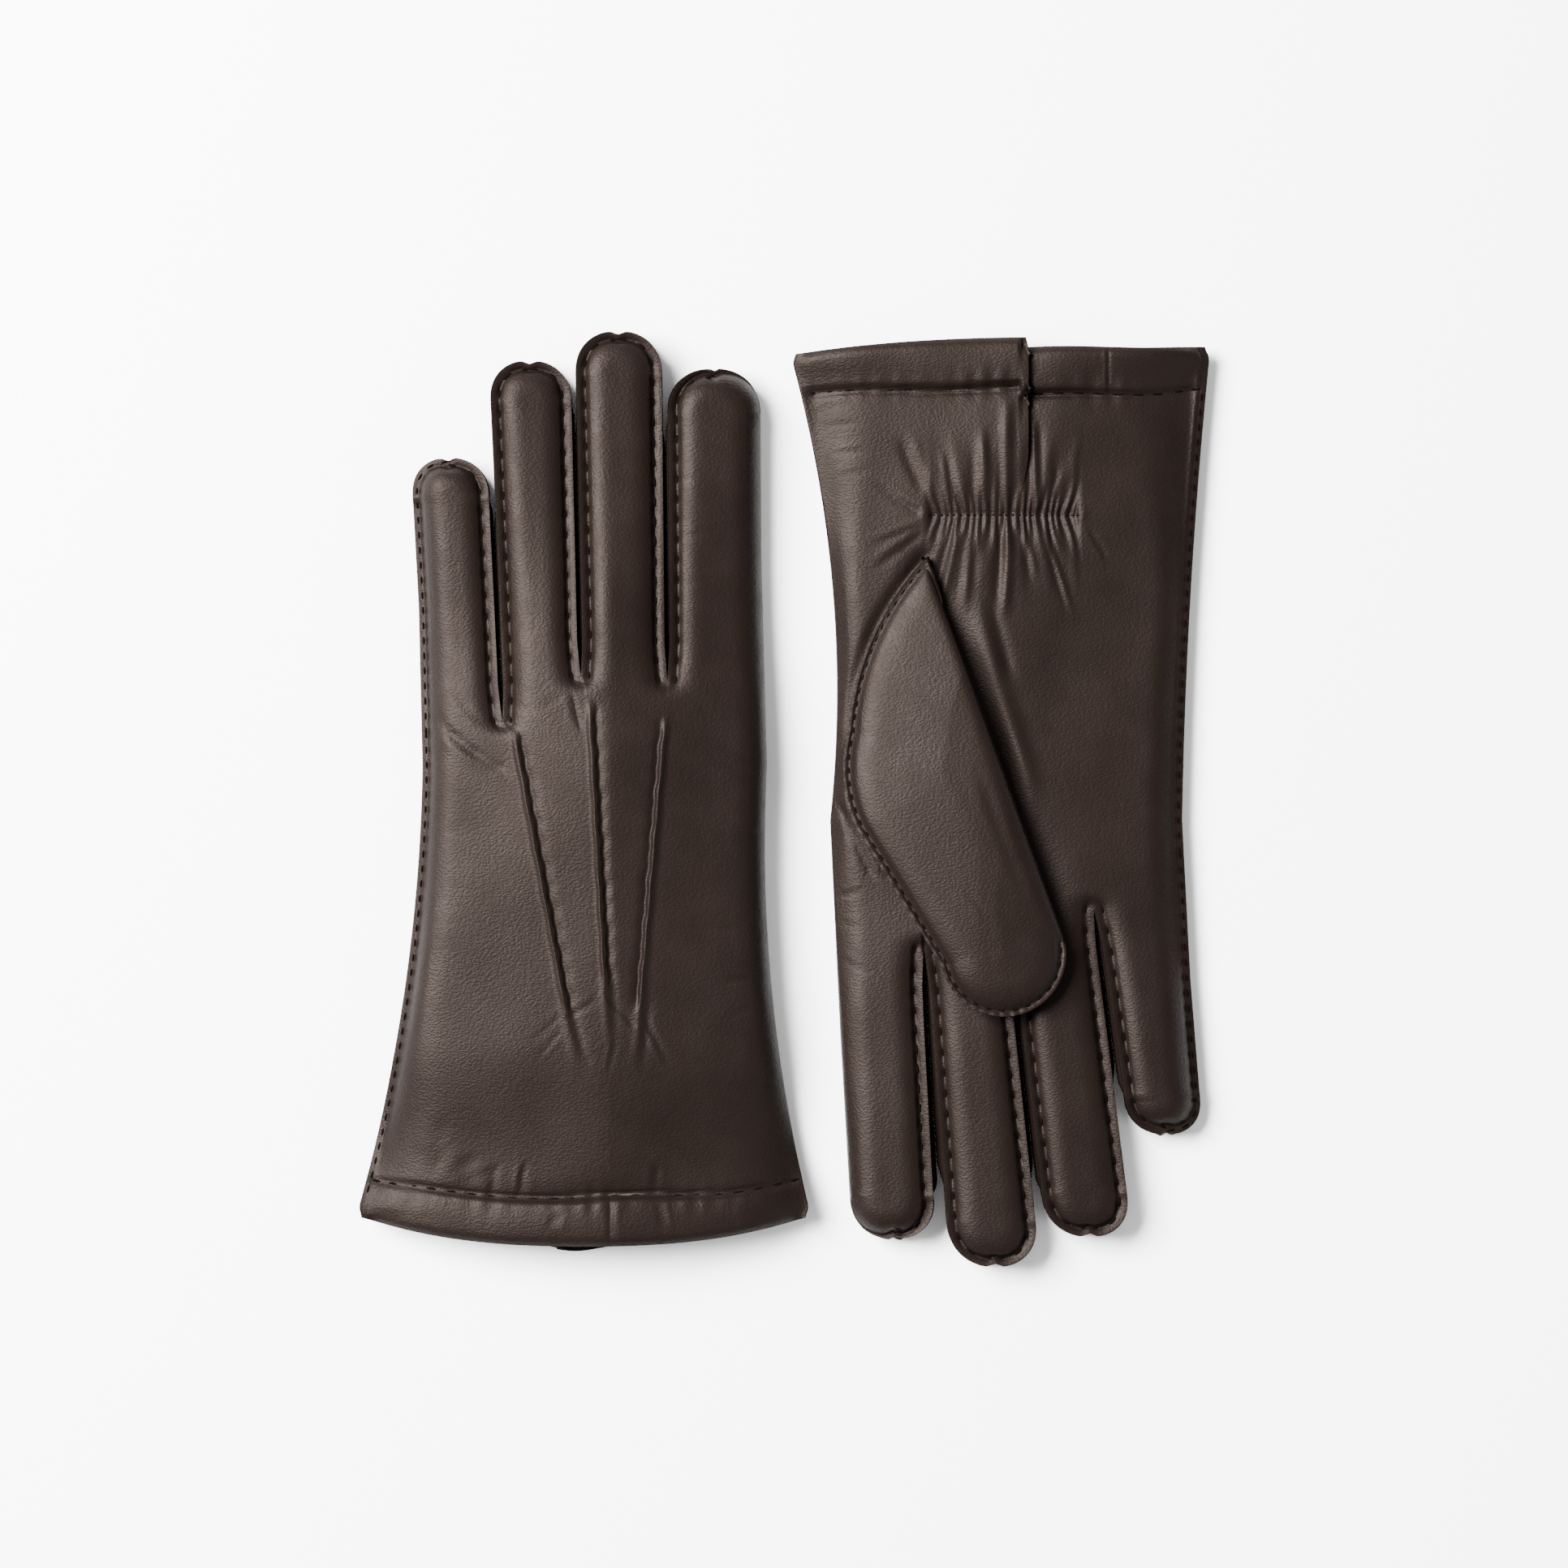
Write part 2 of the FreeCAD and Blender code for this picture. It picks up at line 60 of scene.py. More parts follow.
# Each finger: its name, its widths at root and tip, its length and its knuckle, from the line "rootV".
# Each side of the sag: its depth, its side, where it starts, how far it reaches, and its power.
gloveShapes = {
    "left": {
        "side": 1, "cuffHalf": 61.9, "bow": 8.0, "mouth": 18.6,
        "waist": (47.9, 50.7), "knuckles": (43.7, 49.8), "firstEdge": -43.5, "firstLean": 3.0,
        "spread": (0.25, 0.0, 0.15), "crotch": (143.0, 155.0, 154.0),
        "tilt": (-0.03, -0.04, -0.1, -0.11), "seamLower": 0.0,
        "sag": {"start": (4, 48), "end": (158, 235), "lost": 1.0, "limit": 1.3,
                "sides": ((6.8, -1, 5, 53, 1.35), (5.9, 1, 7, 42, 1.2))},
        "fingers": (("little", 20.6, 20.8, 64.6, 24.0), ("ring", 20.2, 21.8, 90.9, 40.0),
                    ("middle", 21.9, 23.2, 98.9, 45.0), ("index", 24.8, 25.0, 88.7, 37.0)),
    },
    "right": {
        "side": -1, "cuffHalf": 57.0, "bow": 4.5, "mouth": 12.5,
        "waist": (51.5, 45.0), "knuckles": (49.5, 46.2), "firstEdge": -49.8, "firstLean": 6.5,
        "spread": (1.2, 0.75, 1.2), "crotch": (155.0, 161.7, 166.0),
        "tilt": (-0.03, -0.04, 0.035, 0.05), "seamLower": 0.14,
        "sag": {"start": (0, 12), "end": (150, 190), "lost": 0.8, "limit": 1.2,
                "sides": ((3.4, 1, 6, 46, 1.4), (3.2, -1, 6, 50, 1.3))},
        "fingers": (("little", 24.3, 20.6, 66.7, 24.0), ("ring", 22.7, 23.1, 94.7, 40.0),
                    ("middle", 21.1, 24.0, 102.6, 45.0), ("index", 22.9, 22.6, 94.8, 37.0)),
    },
}


def smooth(a, b, x):
    t = np.clip((np.asarray(x, float) - a) / (b - a), 0, 1)
    return t * t * (3 - 2 * t)


def bell(x, width):
    return np.exp(-(np.asarray(x, float) / width) ** 2)


def fade(a, b, x):
    return 1 - smooth(a, b, x)


def softMax(*values):
    return sum(value ** 4 for value in values) ** 0.25


def roundTip(share):
    # The outline of a fingertip, a little squarer than a circle
    return (1 - np.clip(share, 0, 1) ** 2.3) ** (1 / 2.15)


def throughThree(points, v):
    (u0, v0), (u1, v1), (u2, v2) = points
    a = (u1 - u0) / (v1 - v0)
    c = ((u2 - u1) / (v2 - v1) - a) / (v2 - v0)
    return u0 + a * (v - v0) + c * (v - v0) * (v - v1)


class Glove:
    def __init__(self, name):
        self.name = name
        shape = gloveShapes[name]
        self.shape = shape
        self.side = shape["side"]
        backLow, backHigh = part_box(name + "_back_leather")
        palmLow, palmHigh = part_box(name + "_palm_leather")
        up = self.side > 0
        originY = backLow.y if up else backHigh.y
        originZ = palmLow.z if up else palmHigh.z
        self.origin = np.array(((backLow.x + backHigh.x) / 2, originY, originZ))
        self.tube = (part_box("right_palm_leather")[1].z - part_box("right_back_leather")[0].z) / mm
        thumbLow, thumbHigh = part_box(name + "_thumb_inner_panel")
        self.lift = thumbHigh.z / mm + handShape["thumbGap"] if up else 0.0
        outerLow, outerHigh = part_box(name + "_thumb_outer_panel")
        self.thumbTall = ((thumbHigh.z - outerLow.z) if up else (outerHigh.z - thumbLow.z)) / mm
        self.fingers = self.layFingers()

    def layFingers(self):
        # Side by side from the little finger on, each one leaning by its own taper and the spread before it
        shape, laid = self.shape, []
        edge, lean, before = shape["firstEdge"], shape["firstLean"], None
        for i, (finger, root, tip, length, knuckle) in enumerate(shape["fingers"]):
            taper = math.degrees(math.atan((tip - root) / 2 / (length - tip / 2)))
            if before is not None:
                lean -= before + taper + shape["spread"][i - 1]
            slope = math.tan(math.radians(lean))
            cosine = math.cos(math.radians(lean))
            laid.append({
                "name": finger, "u": edge + root / 2, "slope": slope, "cosine": cosine, "lean": lean,
                "root": root, "tip": tip, "length": length, "radius": tip / 2,
                "knuckleV": handShape["rootV"] + knuckle * cosine,
                "tipV": handShape["rootV"] + (length - tip / 2) * cosine,
                "endV": handShape["rootV"] + length * cosine,
            })
            edge += root + handShape["slit"]
            before = taper
        return laid

    def world(self, points):
        # The right glove lies the other way round and the other way up
        return self.origin + self.side * np.asarray(points, float) * mm

    def vector(self, u, v, w):
        return Vector(self.world((u, v, w)))

    def palmLevel(self, v):
        (a, b), (c, d) = handShape["rise"], handShape["fall"]
        return self.lift * (smooth(a, b, v) - smooth(c, d, v))

    def backLevel(self, v):
        (a, b), (c, d) = handShape["rise"], handShape["fall"]
        mouth = self.shape["mouth"]
        top = self.lift + self.tube
        return mouth + (top - mouth) * smooth(a, b, v) - handShape["backFall"] * self.lift * smooth(c, d, v)

    def sag(self, u, v):
        # How far the hand hangs down on both sides of its crown
        look = self.shape["sag"]
        sides = sum(depth * np.clip(hand * (u - crest) / reach, 0, look["limit"]) ** power
                    for depth, hand, crest, reach, power in look["sides"])
        return smooth(*look["start"], v) * (1 - look["lost"] * smooth(*look["end"], v)) * sides

    def thickness(self, v):
        return self.backLevel(v) - self.palmLevel(v)

    def centreU(self, i, v):
        finger = self.fingers[i]
        return finger["u"] - finger["slope"] * (v - handShape["rootV"])

    def halfWidth(self, i, v):
        finger = self.fingers[i]
        share = (np.asarray(v, float) - handShape["rootV"]) / (finger["tipV"] - handShape["rootV"])
        half = (finger["root"] + (finger["tip"] - finger["root"]) * np.clip(share, -0.5, 1)) / 2
        return half * roundTip((v - finger["tipV"]) / finger["radius"])

    def crotchPoint(self, k):
        one, other = self.fingers[k], self.fingers[k + 1]
        v = self.shape["crotch"][k]
        middle = one["u"] + (one["root"] + handShape["slit"]) / 2
        lean = math.radians((one["lean"] + other["lean"]) / 2)
        return middle - math.tan(lean) * (v - handShape["rootV"]), v

    def sideCurve(self, hand, v):
        index = 0 if hand < 0 else 1
        cuff, bow = self.shape["cuffHalf"], self.shape["bow"]
        waist, knuckle = self.shape["waist"][index], self.shape["knuckles"][index]
        points = ((cuff, bow), (waist, handShape["waistV"]), (knuckle, handShape["knuckleV"]))
        return hand * throughThree(points, v)

    def sides(self, v):
        # The two sides of the whole hand
        return self.laneEdge(0, -1, v, backLines), self.laneEdge(3, 1, v, backLines)

    def laneEdge(self, i, hand, v, lines):
        # The edge of finger i's strip, from the cuff up to where the finger's round tip starts
        v = np.asarray(v, float)
        finger = self.fingers[i]
        knuckleV = finger["knuckleV"]
        onFinger = self.centreU(i, v) + hand * self.halfWidth(i, v)
        atKnuckle = float(self.centreU(i, knuckleV) + hand * self.halfWidth(i, knuckleV))
        k = i if hand > 0 else i - 1
        if k < 0 or k > 2:
            start = handShape["knuckleV"]
            cuff = float(self.cuffV(hand * self.shape["cuffHalf"], "back"))
            width, height = handShape["corner"]
            low = self.sideCurve(hand, v) - hand * width * np.clip(1 - (v - cuff) / height, 0, 1) ** 2.2
            atStart = float(self.sideCurve(hand, start))
        else:
            crotchU, start = self.crotchPoint(k)
            # below its slit, the strip ends at a line that it shares with its neighbour
            line = lines[k] + ((crotchU, start),)
            low = np.interp(v, [p[1] for p in line], [p[0] for p in line])
            atStart = crotchU - hand * handShape["slit"] / 2
        share = np.clip((v - start) / (knuckleV - start), 0, 1)
        between = atStart + (atKnuckle - atStart) * share
        if 0 <= k <= 2:
            closed = 1 - np.clip((v - start) / 10.0, 0, 1) ** 0.8
            between = between + hand * handShape["slit"] / 2 * closed
        return np.where(v <= start, low, np.where(v <= knuckleV, between, onFinger))

    def cuffV(self, u, sheet):
        u = np.asarray(u, float)
        bow, half = self.shape["bow"], self.shape["cuffHalf"]
        if self.side > 0:
            # the hem bows down in the middle, and the palm's hem a little more
            bowed = bow * (np.abs(u) / half) ** 2.5 + 0.8
            return bowed - (2.0 * bell(u + 1, 9.0) if sheet == "palm" else 0.0)
        # the index side's flap of the vent stands higher than the other one
        slit = palmShape["ventU"]
        high = bow * (np.maximum(u - slit, 0) / (half - slit)) ** 2
        low = 2.5 + 0.2 * np.cos(u / 6.0)
        if sheet == "palm":
            return np.where(u > slit, high, low)
        return high + (low + 0.5 - high) * fade(slit - 1, slit + 12, u)


# Stitches: how far in from the edge, how far apart, and the size of one
stitchShape = {
    "finger": {"inset": 2.3, "pitch": 5.5, "length": 2.7, "radius": 0.42},
    "side": {"inset": 1.2, "pitch": 4.0, "length": 2.1, "radius": 0.3},
    "hem": {"pitch": 5.4, "length": 3.1, "radius": 0.4},
    "shirr": {"pitch": 1.9, "length": 1.0, "radius": 0.26},
    "thumb": {"inset": 1.55, "pitch": 3.6, "length": 1.9, "radius": 0.28},
}
edgeKinds = {
    # band: flat seam allowance; drop: share of the thickness; reach: how far the leather rounds over
    "fold": {"band": 0.0, "drop": 0.5, "less": 0.0, "reach": 8.5, "flare": 0.0, "groove": 0.0},
    "seam": {"band": 2.0, "drop": 0.5, "less": 1.2, "reach": 8.5, "flare": -0.8, "groove": 0.2},
    "four": {"band": 2.4, "drop": 0.21, "less": 0.0, "reach": 7.0, "flare": 0.6, "groove": 0.42},
}


def rounded(t):
    # The side of a lying tube: level at 0, steep at 1
    return (1 - (1 - (0.9 * t) ** 2.6) ** 0.476) / 0.508


def stitchStep(glove, i, hand):
    # Where the stitches start along the finger's side, and how far they are apart
    finger = glove.fingers[i]
    start = glove.crotchPoint(i if hand > 0 else i - 1)[1]
    # the straight side, and the way round to the middle of the tip
    length = (finger["tipV"] - start) / finger["cosine"] + 1.292 * finger["radius"]
    pitch = stitchShape["finger"]["pitch"]
    return start, length / math.floor(length / pitch) * finger["cosine"]


def edgeDrop(glove, d, v, kind, other=None, share=0.0, step=None, lower=0.0):
    first = edgeKinds[kind]
    second = edgeKinds[other] if other else first

    def value(key):
        return first[key] + (second[key] - first[key]) * share

    thick = glove.thickness(v)
    depth = (value("drop") + lower) * thick - value("less")
    reach = value("reach") + 16 * fade(0, 70, v) * (kind != "four")
    band = value("band")
    t = np.clip(1 - (d - band) / reach, 0, 1)
    drop = depth * rounded(t)
    drop = drop - value("flare") * smooth(0, 1, (band - d) / np.maximum(band, 0.01)) * (band > 0)
    tuck = 1.0
    # every stitch pulls the leather in
    if step:
        tuck = 0.3 + 1.3 * (0.5 + 0.5 * np.cos(2 * math.pi * (v - step[0]) / step[1])) ** 1.5
    return drop + value("groove") * tuck * bell(d - band, 0.6)


def edgeKind(i, hand):
    if i == 0 and hand < 0:
        return "seam"
    if i == 3 and hand > 0:
        return "fold"
    return "four"


def sheetDrop(glove, i, u, v, lines):
    # How far the leather is below its crown, from the seams, folds and slits around it
    finger = glove.fingers[i]
    drops = []
    x = u - glove.centreU(i, v)
    past = np.maximum(v - finger["tipV"], 0)
    tipDistance = finger["radius"] - (np.abs(x) ** 2.25 + past ** 2.25) ** (1 / 2.25)
    inTip = v > finger["tipV"]
    for hand in (-1, 1):
        kind, other = edgeKind(i, hand), edgeKind(i, -hand)
        k = i if hand > 0 else i - 1
        d = hand * (glove.laneEdge(i, hand, v, lines) - u)
        if 0 <= k <= 2:
            crotchU, crotchV = glove.crotchPoint(k)
            below = np.hypot(u - crotchU, np.maximum(crotchV - v, 0) * 1.5)
            d = np.where(v < crotchV, below, d)
        d = np.where(inTip, tipDistance, d)
        turned = np.clip(0.5 - hand * x / finger["tip"], 0, 1)
        step = stitchStep(glove, i, hand) if kind == "four" else None
        mixed = np.where(inTip, turned, 0.0)
        seamShare = 1 - mixed if kind == "seam" else mixed if other == "seam" else 0.0
        lower = glove.shape["seamLower"] * seamShare * (1 if lines is palmLines else -1)
        drop = edgeDrop(glove, np.maximum(d, 0), v, kind, other, mixed, step, lower)
        # two sides add up in a tip, so each of them counts for less there
        drop = np.where(inTip, 0.841 * drop, drop * (1 - 0.159 * smooth(-3, 0, v - finger["tipV"])))
        if 0 <= k <= 2:
            crotchU, crotchV = glove.crotchPoint(k)
            drop = drop * (0.55 + 0.45 * smooth(crotchV - 6, crotchV + 8, v))
        drops.append(np.maximum(drop, 0))
    return softMax(*drops)


def segment(points, u, v):
    # Distance along a straight line, signed distance beside it, and the line's length
    (u0, v0), (u1, v1) = points
    length = math.hypot(u1 - u0, v1 - v0)
    du, dv = (u1 - u0) / length, (v1 - v0) / length
    along = (u - u0) * du + (v - v0) * dv
    beside = (u - u0) * dv - (v - v0) * du
    return along, beside, length


def crease(u, v, points, depth, width):
    # A groove with a low ridge beside it, fading out at both ends
    along, beside, length = segment(points, u, v)
    ends = smooth(-0.15 * length, 0.25 * length, along) * fade(0.75 * length, 1.15 * length, along)
    return ends * (-depth * bell(beside, width) + 0.45 * depth * bell(beside - 1.9 * width, width))


# The three points: from the finger end to the cuff end, and which side their scalloped groove is on
pointShape = {
    "lines": (((-18.6, 139.1), (-4.6, 64.4)), ((1.8, 146.5), (5.9, 72.0)), ((22.2, 142.0), (15.5, 65.5))),
    "hands": (1, 1, -1), "height": 0.85, "steep": 0.75, "broad": 1.7, "pitch": 6.0, "groove": 0.6,
}
hemShape = {
    "depth": 13.2, "groove": 0.9, "pucker": 0.22, "puff": 0.8, "roll": 1.1, "rollReach": 2.2,
    # the leather is drawn in above the middle of the hem: how deep, how far up and how wide
    "drawn": (2.2, 5.0, 34),
}
# Creases: where each starts and ends, its depth and its width
backCreases = (
    ((-43.6, 149), (-34, 137.4), 0.3, 1.2), ((-37, 140.4), (-28, 133.2), 0.55, 1.1),
    ((-31, 135.4), (-20.8, 129), 0.45, 0.8), ((-26, 129), (-20.5, 131.5), 0.2, 0.5),
    ((-35, 150), (-27, 142), 0.25, 0.8), ((-19, 147.5), (-13, 145), 0.35, 0.5),
    ((-11, 146), (-5, 150), 0.2, 0.5), ((-3, 150), (-0.6, 141), 0.4, 0.7),
    ((-12, 52), (-6, 59), 0.12, 0.6), ((3.4, 67.6), (-4.3, 62.7), 0.3, 0.5),
    ((6.2, 68.9), (14.4, 60.3), 0.4, 0.6), ((17.2, 62), (23, 50), 0.3, 0.6),
    ((-5.5, 64), (-13, 57), 0.15, 0.5), ((-1, 57), (2, 50), 0.15, 0.7), ((9, 57), (7, 48), 0.15, 0.7),
    ((26, 208), (33, 207.5), 0.3, 0.4), ((27, 193), (38, 194), 0.3, 0.4),
    ((28, 180), (36, 181.5), 0.25, 0.4), ((37, 136), (49, 131), 0.35, 0.6), ((36, 131), (47, 127), 0.25, 0.5),
    ((33, 87), (42, 86), 0.25, 0.5), ((38, 72), (49, 74), 0.3, 0.5), ((40, 63), (49, 66), 0.25, 0.5),
    ((4, 101), (6.5, 98), 0.35, 0.4), ((-38, 35), (-41, 20), 0.6, 1.1), ((-42, 28), (-46, 21), 0.4, 0.8),
    ((-48, 9), (-45, 19), 0.5, 0.7), ((-7.4, 2), (-7.6, 13), 0.45, 0.6), ((7.3, 1), (7.6, 13), 0.5, 0.6),
    ((22, 2), (21, 14), 0.45, 0.6), ((41.5, 5), (40, 16), 0.4, 0.7), ((-24, 24), (-25, 14), 0.5, 0.8),
    ((-16, 23), (-17, 14), 0.4, 0.8), ((20, 23), (19, 15), 0.35, 0.8), ((-31, 26), (-33, 17), 0.5, 0.9),
)


def hemDepth(u):
    return hemShape["depth"] + 0.5 * np.sin(u / 9.0) - 2.4 * (u / 60) ** 2


def hemDetail(glove, u, v, sheet):
    # The stitched groove with its puckers, the puffed hem below it and the rolled edge
    edge = v - glove.cuffV(u, sheet)
    hem = hemDepth(u)
    d = edge - hem
    raised = -hemShape["groove"] * bell(d, 0.75)
    pucker = np.cos(2 * math.pi * u / stitchShape["hem"]["pitch"] + 0.8 * np.sin(u / 7.0))
    pucker = hemShape["pucker"] * pucker * (0.6 + 0.4 * np.sin(u / 5.3 + 1))
    raised += pucker * bell(d + 1.0, 3.2)
    raised += hemShape["puff"] * np.sin(math.pi * np.clip(edge / hem, 0, 1)) ** 0.8
    depth, up, wide = hemShape["drawn"]
    raised -= depth * np.exp(-np.maximum(d, 0) / up) * smooth(-0.8, 0.4, d) * bell(u - 3, wide)
    return raised - hemShape["roll"] * np.clip(1 - edge / hemShape["rollReach"], 0, 1) ** 2


def softWaves(u, v, seed):
    # The slack of leather that has been worn and pressed
    a = np.sin(u / 15.0 + seed) * np.sin(v / 27.0 + 2 * seed)
    b = np.sin(u / 8.0 - v / 21.0 + 3 * seed) * np.sin(v / 13.0 + seed)
    c = np.sin(u / 4.1 + v / 7.3 + seed) * np.sin(v / 6.1 - u / 9.0)
    return 0.45 * a + 0.22 * b + 0.07 * c


def backDetail(glove, u, v):
    raised = hemDetail(glove, u, v, "back") + softWaves(u, v, 1.3 if glove.side > 0 else 4.1)
    for hand, line in zip(pointShape["hands"], pointShape["lines"]):
        along, beside, length = segment(line, u, v)
        ends = smooth(-3, 4, along) * fade(length - 4, length + 2, along)
        tail = smooth(length - 4, length + 1, along) * fade(length + 2, length + 20, along)
        phase = 2 * math.pi * along / pointShape["pitch"]
        # a narrow steep face to the left, a broad one to the right, and a scalloped groove at one foot
        x = -beside - 0.1 * np.sin(phase / 2 + 1)
        ridge = pointShape["height"] * np.where(x < 0, bell(x, pointShape["steep"]),
                                                1 - smooth(-0.3, pointShape["broad"], x))
        foot = pointShape["broad"] - 0.15 if hand > 0 else -1.0
        pulled = x - foot - hand * 0.26 * np.cos(phase)
        ridge = ridge - pointShape["groove"] * bell(pulled, np.where(hand * pulled > 0, 1.3, 0.35))
        raised += ends * ridge + tail * 0.4 * (bell(x, 1.3) - 0.8 * bell(x - 2.2, 1.3))
    for start, end, depth, width in backCreases:
        raised += crease(u, v, (start, end), depth, width)
    return raised


palmShape = {
    # one flap of the vent goes over by "lap" and up, the other one back and down
    "ventU": -5.6, "ventEnd": 45.0, "lap": 1.9, "lapBack": 0.8, "lapUp": 1.1, "lapDown": 1.5,
    # the row of elastic that gathers the wrist
    "shirr": (-21.0, 19.4), "shirrV": 48.2, "shirrDepth": 1.1,
}
palmCreases = (
    ((20, 49), (33, 40), 0.35, 0.7), ((21, 47), (30, 44), 0.25, 0.5), ((21, 51), (34, 56), 0.35, 0.7),
    ((21, 53), (33, 62), 0.45, 1.0), ((40, 17), (50, 20), 0.25, 0.5), ((39, 23), (48, 24), 0.25, 0.5),
    ((36, 31), (46, 31), 0.25, 0.5), ((36, 36), (44, 37), 0.25, 0.5), ((38, 150), (46, 152), 0.35, 0.6),
    ((38, 160), (46, 158), 0.2, 0.6), ((36, 172), (45, 168), 0.2, 0.7), ((-29.1, 3), (-29.3, 15), 0.45, 0.4),
    # a depth below zero is a ridge
    ((11.6, 50), (15.5, 70), -0.7, 1.1), ((7.2, 50), (9.8, 72), -0.5, 1.2),
    ((-2.3, 51), (-1.2, 74), -0.75, 1.3), ((-6.4, 51), (-9.5, 64), -0.45, 0.9),
    ((-11, 49), (-19, 73), -0.45, 0.7), ((6, 78), (-9, 124), -1.1, 2.6),
    ((2.6, 72), (-3.0, 92), 0.5, 1.6), ((13, 46), (16, 32), -0.45, 0.9), ((4, 46), (5, 26), -0.5, 1.1),
    ((-1, 46), (-1.6, 18), -0.6, 1.4), ((-9.5, 46), (-9.0, 24), -0.55, 0.9),
    ((-13, 46), (-14, 36), -0.35, 0.8), ((21, 42), (27, 28), 0.45, 1.6), ((-24, 52), (-29, 60), 0.25, 0.6),
)


thumbShape = {
    # measured from the finger root line
    "apex": (20.4, -90.6), "bulge": (34.7, -69.7), "baseEnd": (41.3, -43.3), "shoulder": (42.4, -29.0),
    "elbow": (39.0, -17.0), "tipOuter": (16.0, 20.5), "tip": (-3.8, 33.7), "tipInner": (-17.5, 14.0),
    # the small piece sewn in at the thumb's root, from the cuff side on
    "quirk": ((43.2, 123.0), (32.8, 146.0)),
}


def arcThrough(a, b, c, count):
    # Points on the circle through three places, from the first to the last
    (ax, ay), (bx, by), (cx, cy) = a, b, c
    d = 2 * (ax * (by - cy) + bx * (cy - ay) + cx * (ay - by))
    a2, b2, c2 = ax * ax + ay * ay, bx * bx + by * by, cx * cx + cy * cy
    x = (a2 * (by - cy) + b2 * (cy - ay) + c2 * (ay - by)) / d
    y = (a2 * (cx - bx) + b2 * (ax - cx) + c2 * (bx - ax)) / d
    radius = math.hypot(ax - x, ay - y)
    start = math.atan2(ay - y, ax - x)
    middle = (math.atan2(by - y, bx - x) - start + math.pi) % (2 * math.pi) - math.pi
    end = (math.atan2(cy - y, cx - x) - start + math.pi) % (2 * math.pi) - math.pi
    if (middle > 0) != (end > 0):
        end += 2 * math.pi if middle > 0 else -2 * math.pi
    turn = start + np.linspace(0, end, count)
    return np.column_stack((x + radius * np.cos(turn), y + radius * np.sin(turn)))


def thumbOutline():
    # The sewn side from the thumb's point to its tip, the round tip, and the folded side back again
    places = {k: (thumbShape[k][0], thumbShape[k][1] + handShape["rootV"]) for k in (
        "apex", "bulge", "baseEnd", "shoulder", "elbow", "tipOuter", "tip", "tipInner")}
    base = arcThrough(places["apex"], places["bulge"], places["baseEnd"], 40)
    shoulder = arcThrough(places["baseEnd"], places["shoulder"], places["elbow"], 20)
    cap = arcThrough(places["tipOuter"], places["tip"], places["tipInner"], 48)
    straight = np.linspace(places["elbow"], places["tipOuter"], 30)
    back = np.linspace(places["tipInner"], places["apex"], 60)
    return np.vstack((base, shoulder[1:], straight[1:])), cap, back


thumbOuter, thumbCap, thumbBack = thumbOutline()
thumbSeam = np.vstack((thumbOuter, thumbCap[1:]))


def distanceTo(path, u, v):
    # Distance to a polyline, and which way along it (0 to 1) the nearest place is
    best = np.full(np.shape(u), 1e9)
    where = np.zeros(np.shape(u))
    for n, (a, b) in enumerate(zip(path[:-1], path[1:])):
        d = b - a
        t = np.clip(((u - a[0]) * d[0] + (v - a[1]) * d[1]) / (d @ d), 0, 1)
        gap = np.hypot(u - a[0] - t * d[0], v - a[1] - t * d[1])
        where = np.where(gap < best, (n + t) / (len(path) - 1), where)
        best = np.minimum(best, gap)
    return best, where


def palmDetail(glove, i, u, v):
    raised = hemDetail(glove, u, v, "palm") + softWaves(u, v, 2.6 if glove.side > 0 else 5.2)
    low, high = palmShape["shirr"]
    inside = smooth(low - 1.5, low + 1.5, u) * fade(high - 1.5, high + 1.5, u)
    d = v - palmShape["shirrV"]
    fan = 1 + np.abs(d) / 55.0
    phase = 2 * math.pi * (u / fan - low + 0.35 * np.sin(u * 0.9)) / stitchShape["shirr"]["pitch"]
    gather = 0.55 * np.cos(phase) * bell(d, 4.6) * (1 - 0.6 * bell(d, 0.6))
    wide = 0.26 * np.cos(phase / 2 + 0.9 * np.sin(u / 3.1)) * bell(np.abs(d) - 6.0, 4.5)
    broad = 0.25 * np.cos(phase / 3.3 + 1.1) * bell(np.abs(d) - 12, 7.5)
    sunk = palmShape["shirrDepth"] * bell(d, 5.5) + 0.45 * bell(d, 0.8)
    raised += inside * (gather + wide + broad - sunk)
    for knot in (low - 1, high + 1.5):
        raised += 0.35 * bell(np.hypot(u - knot, d), 1.3)
    for start, end, depth, width in palmCreases:
        raised += crease(u, v, (start, end), depth, width)
    # the palm gives way under the thumb's two sides
    seam, where = distanceTo(thumbOuter, u, v)
    raised -= 1.0 * bell(seam, 1.6) * fade(0.4, 0.55, where)
    raised -= 1.1 * bell(distanceTo(thumbBack, u, v)[0], 6.0) * fade(165, 178, v)
    along, beside, length = segment(thumbShape["quirk"], u, v)
    quirk = smooth(-2, 3, along) * fade(length - 2, length + 1, along)
    raised += quirk * (0.7 * bell(beside, 0.9) - 0.7 * bell(beside - 2.2 + along * 0.03, 0.8))
    # the vent's flap on the index side laps over the other one
    below = fade(palmShape["ventEnd"] - 20, palmShape["ventEnd"] - 2, v)
    if i == 2:
        raised += palmShape["lapUp"] * below * bell(u - palmShape["ventU"] + 1.5, 9.0)
    if i == 1:
        raised -= palmShape["lapDown"] * below * bell(u - palmShape["ventU"] - 1.5, 9.0)
    return raised


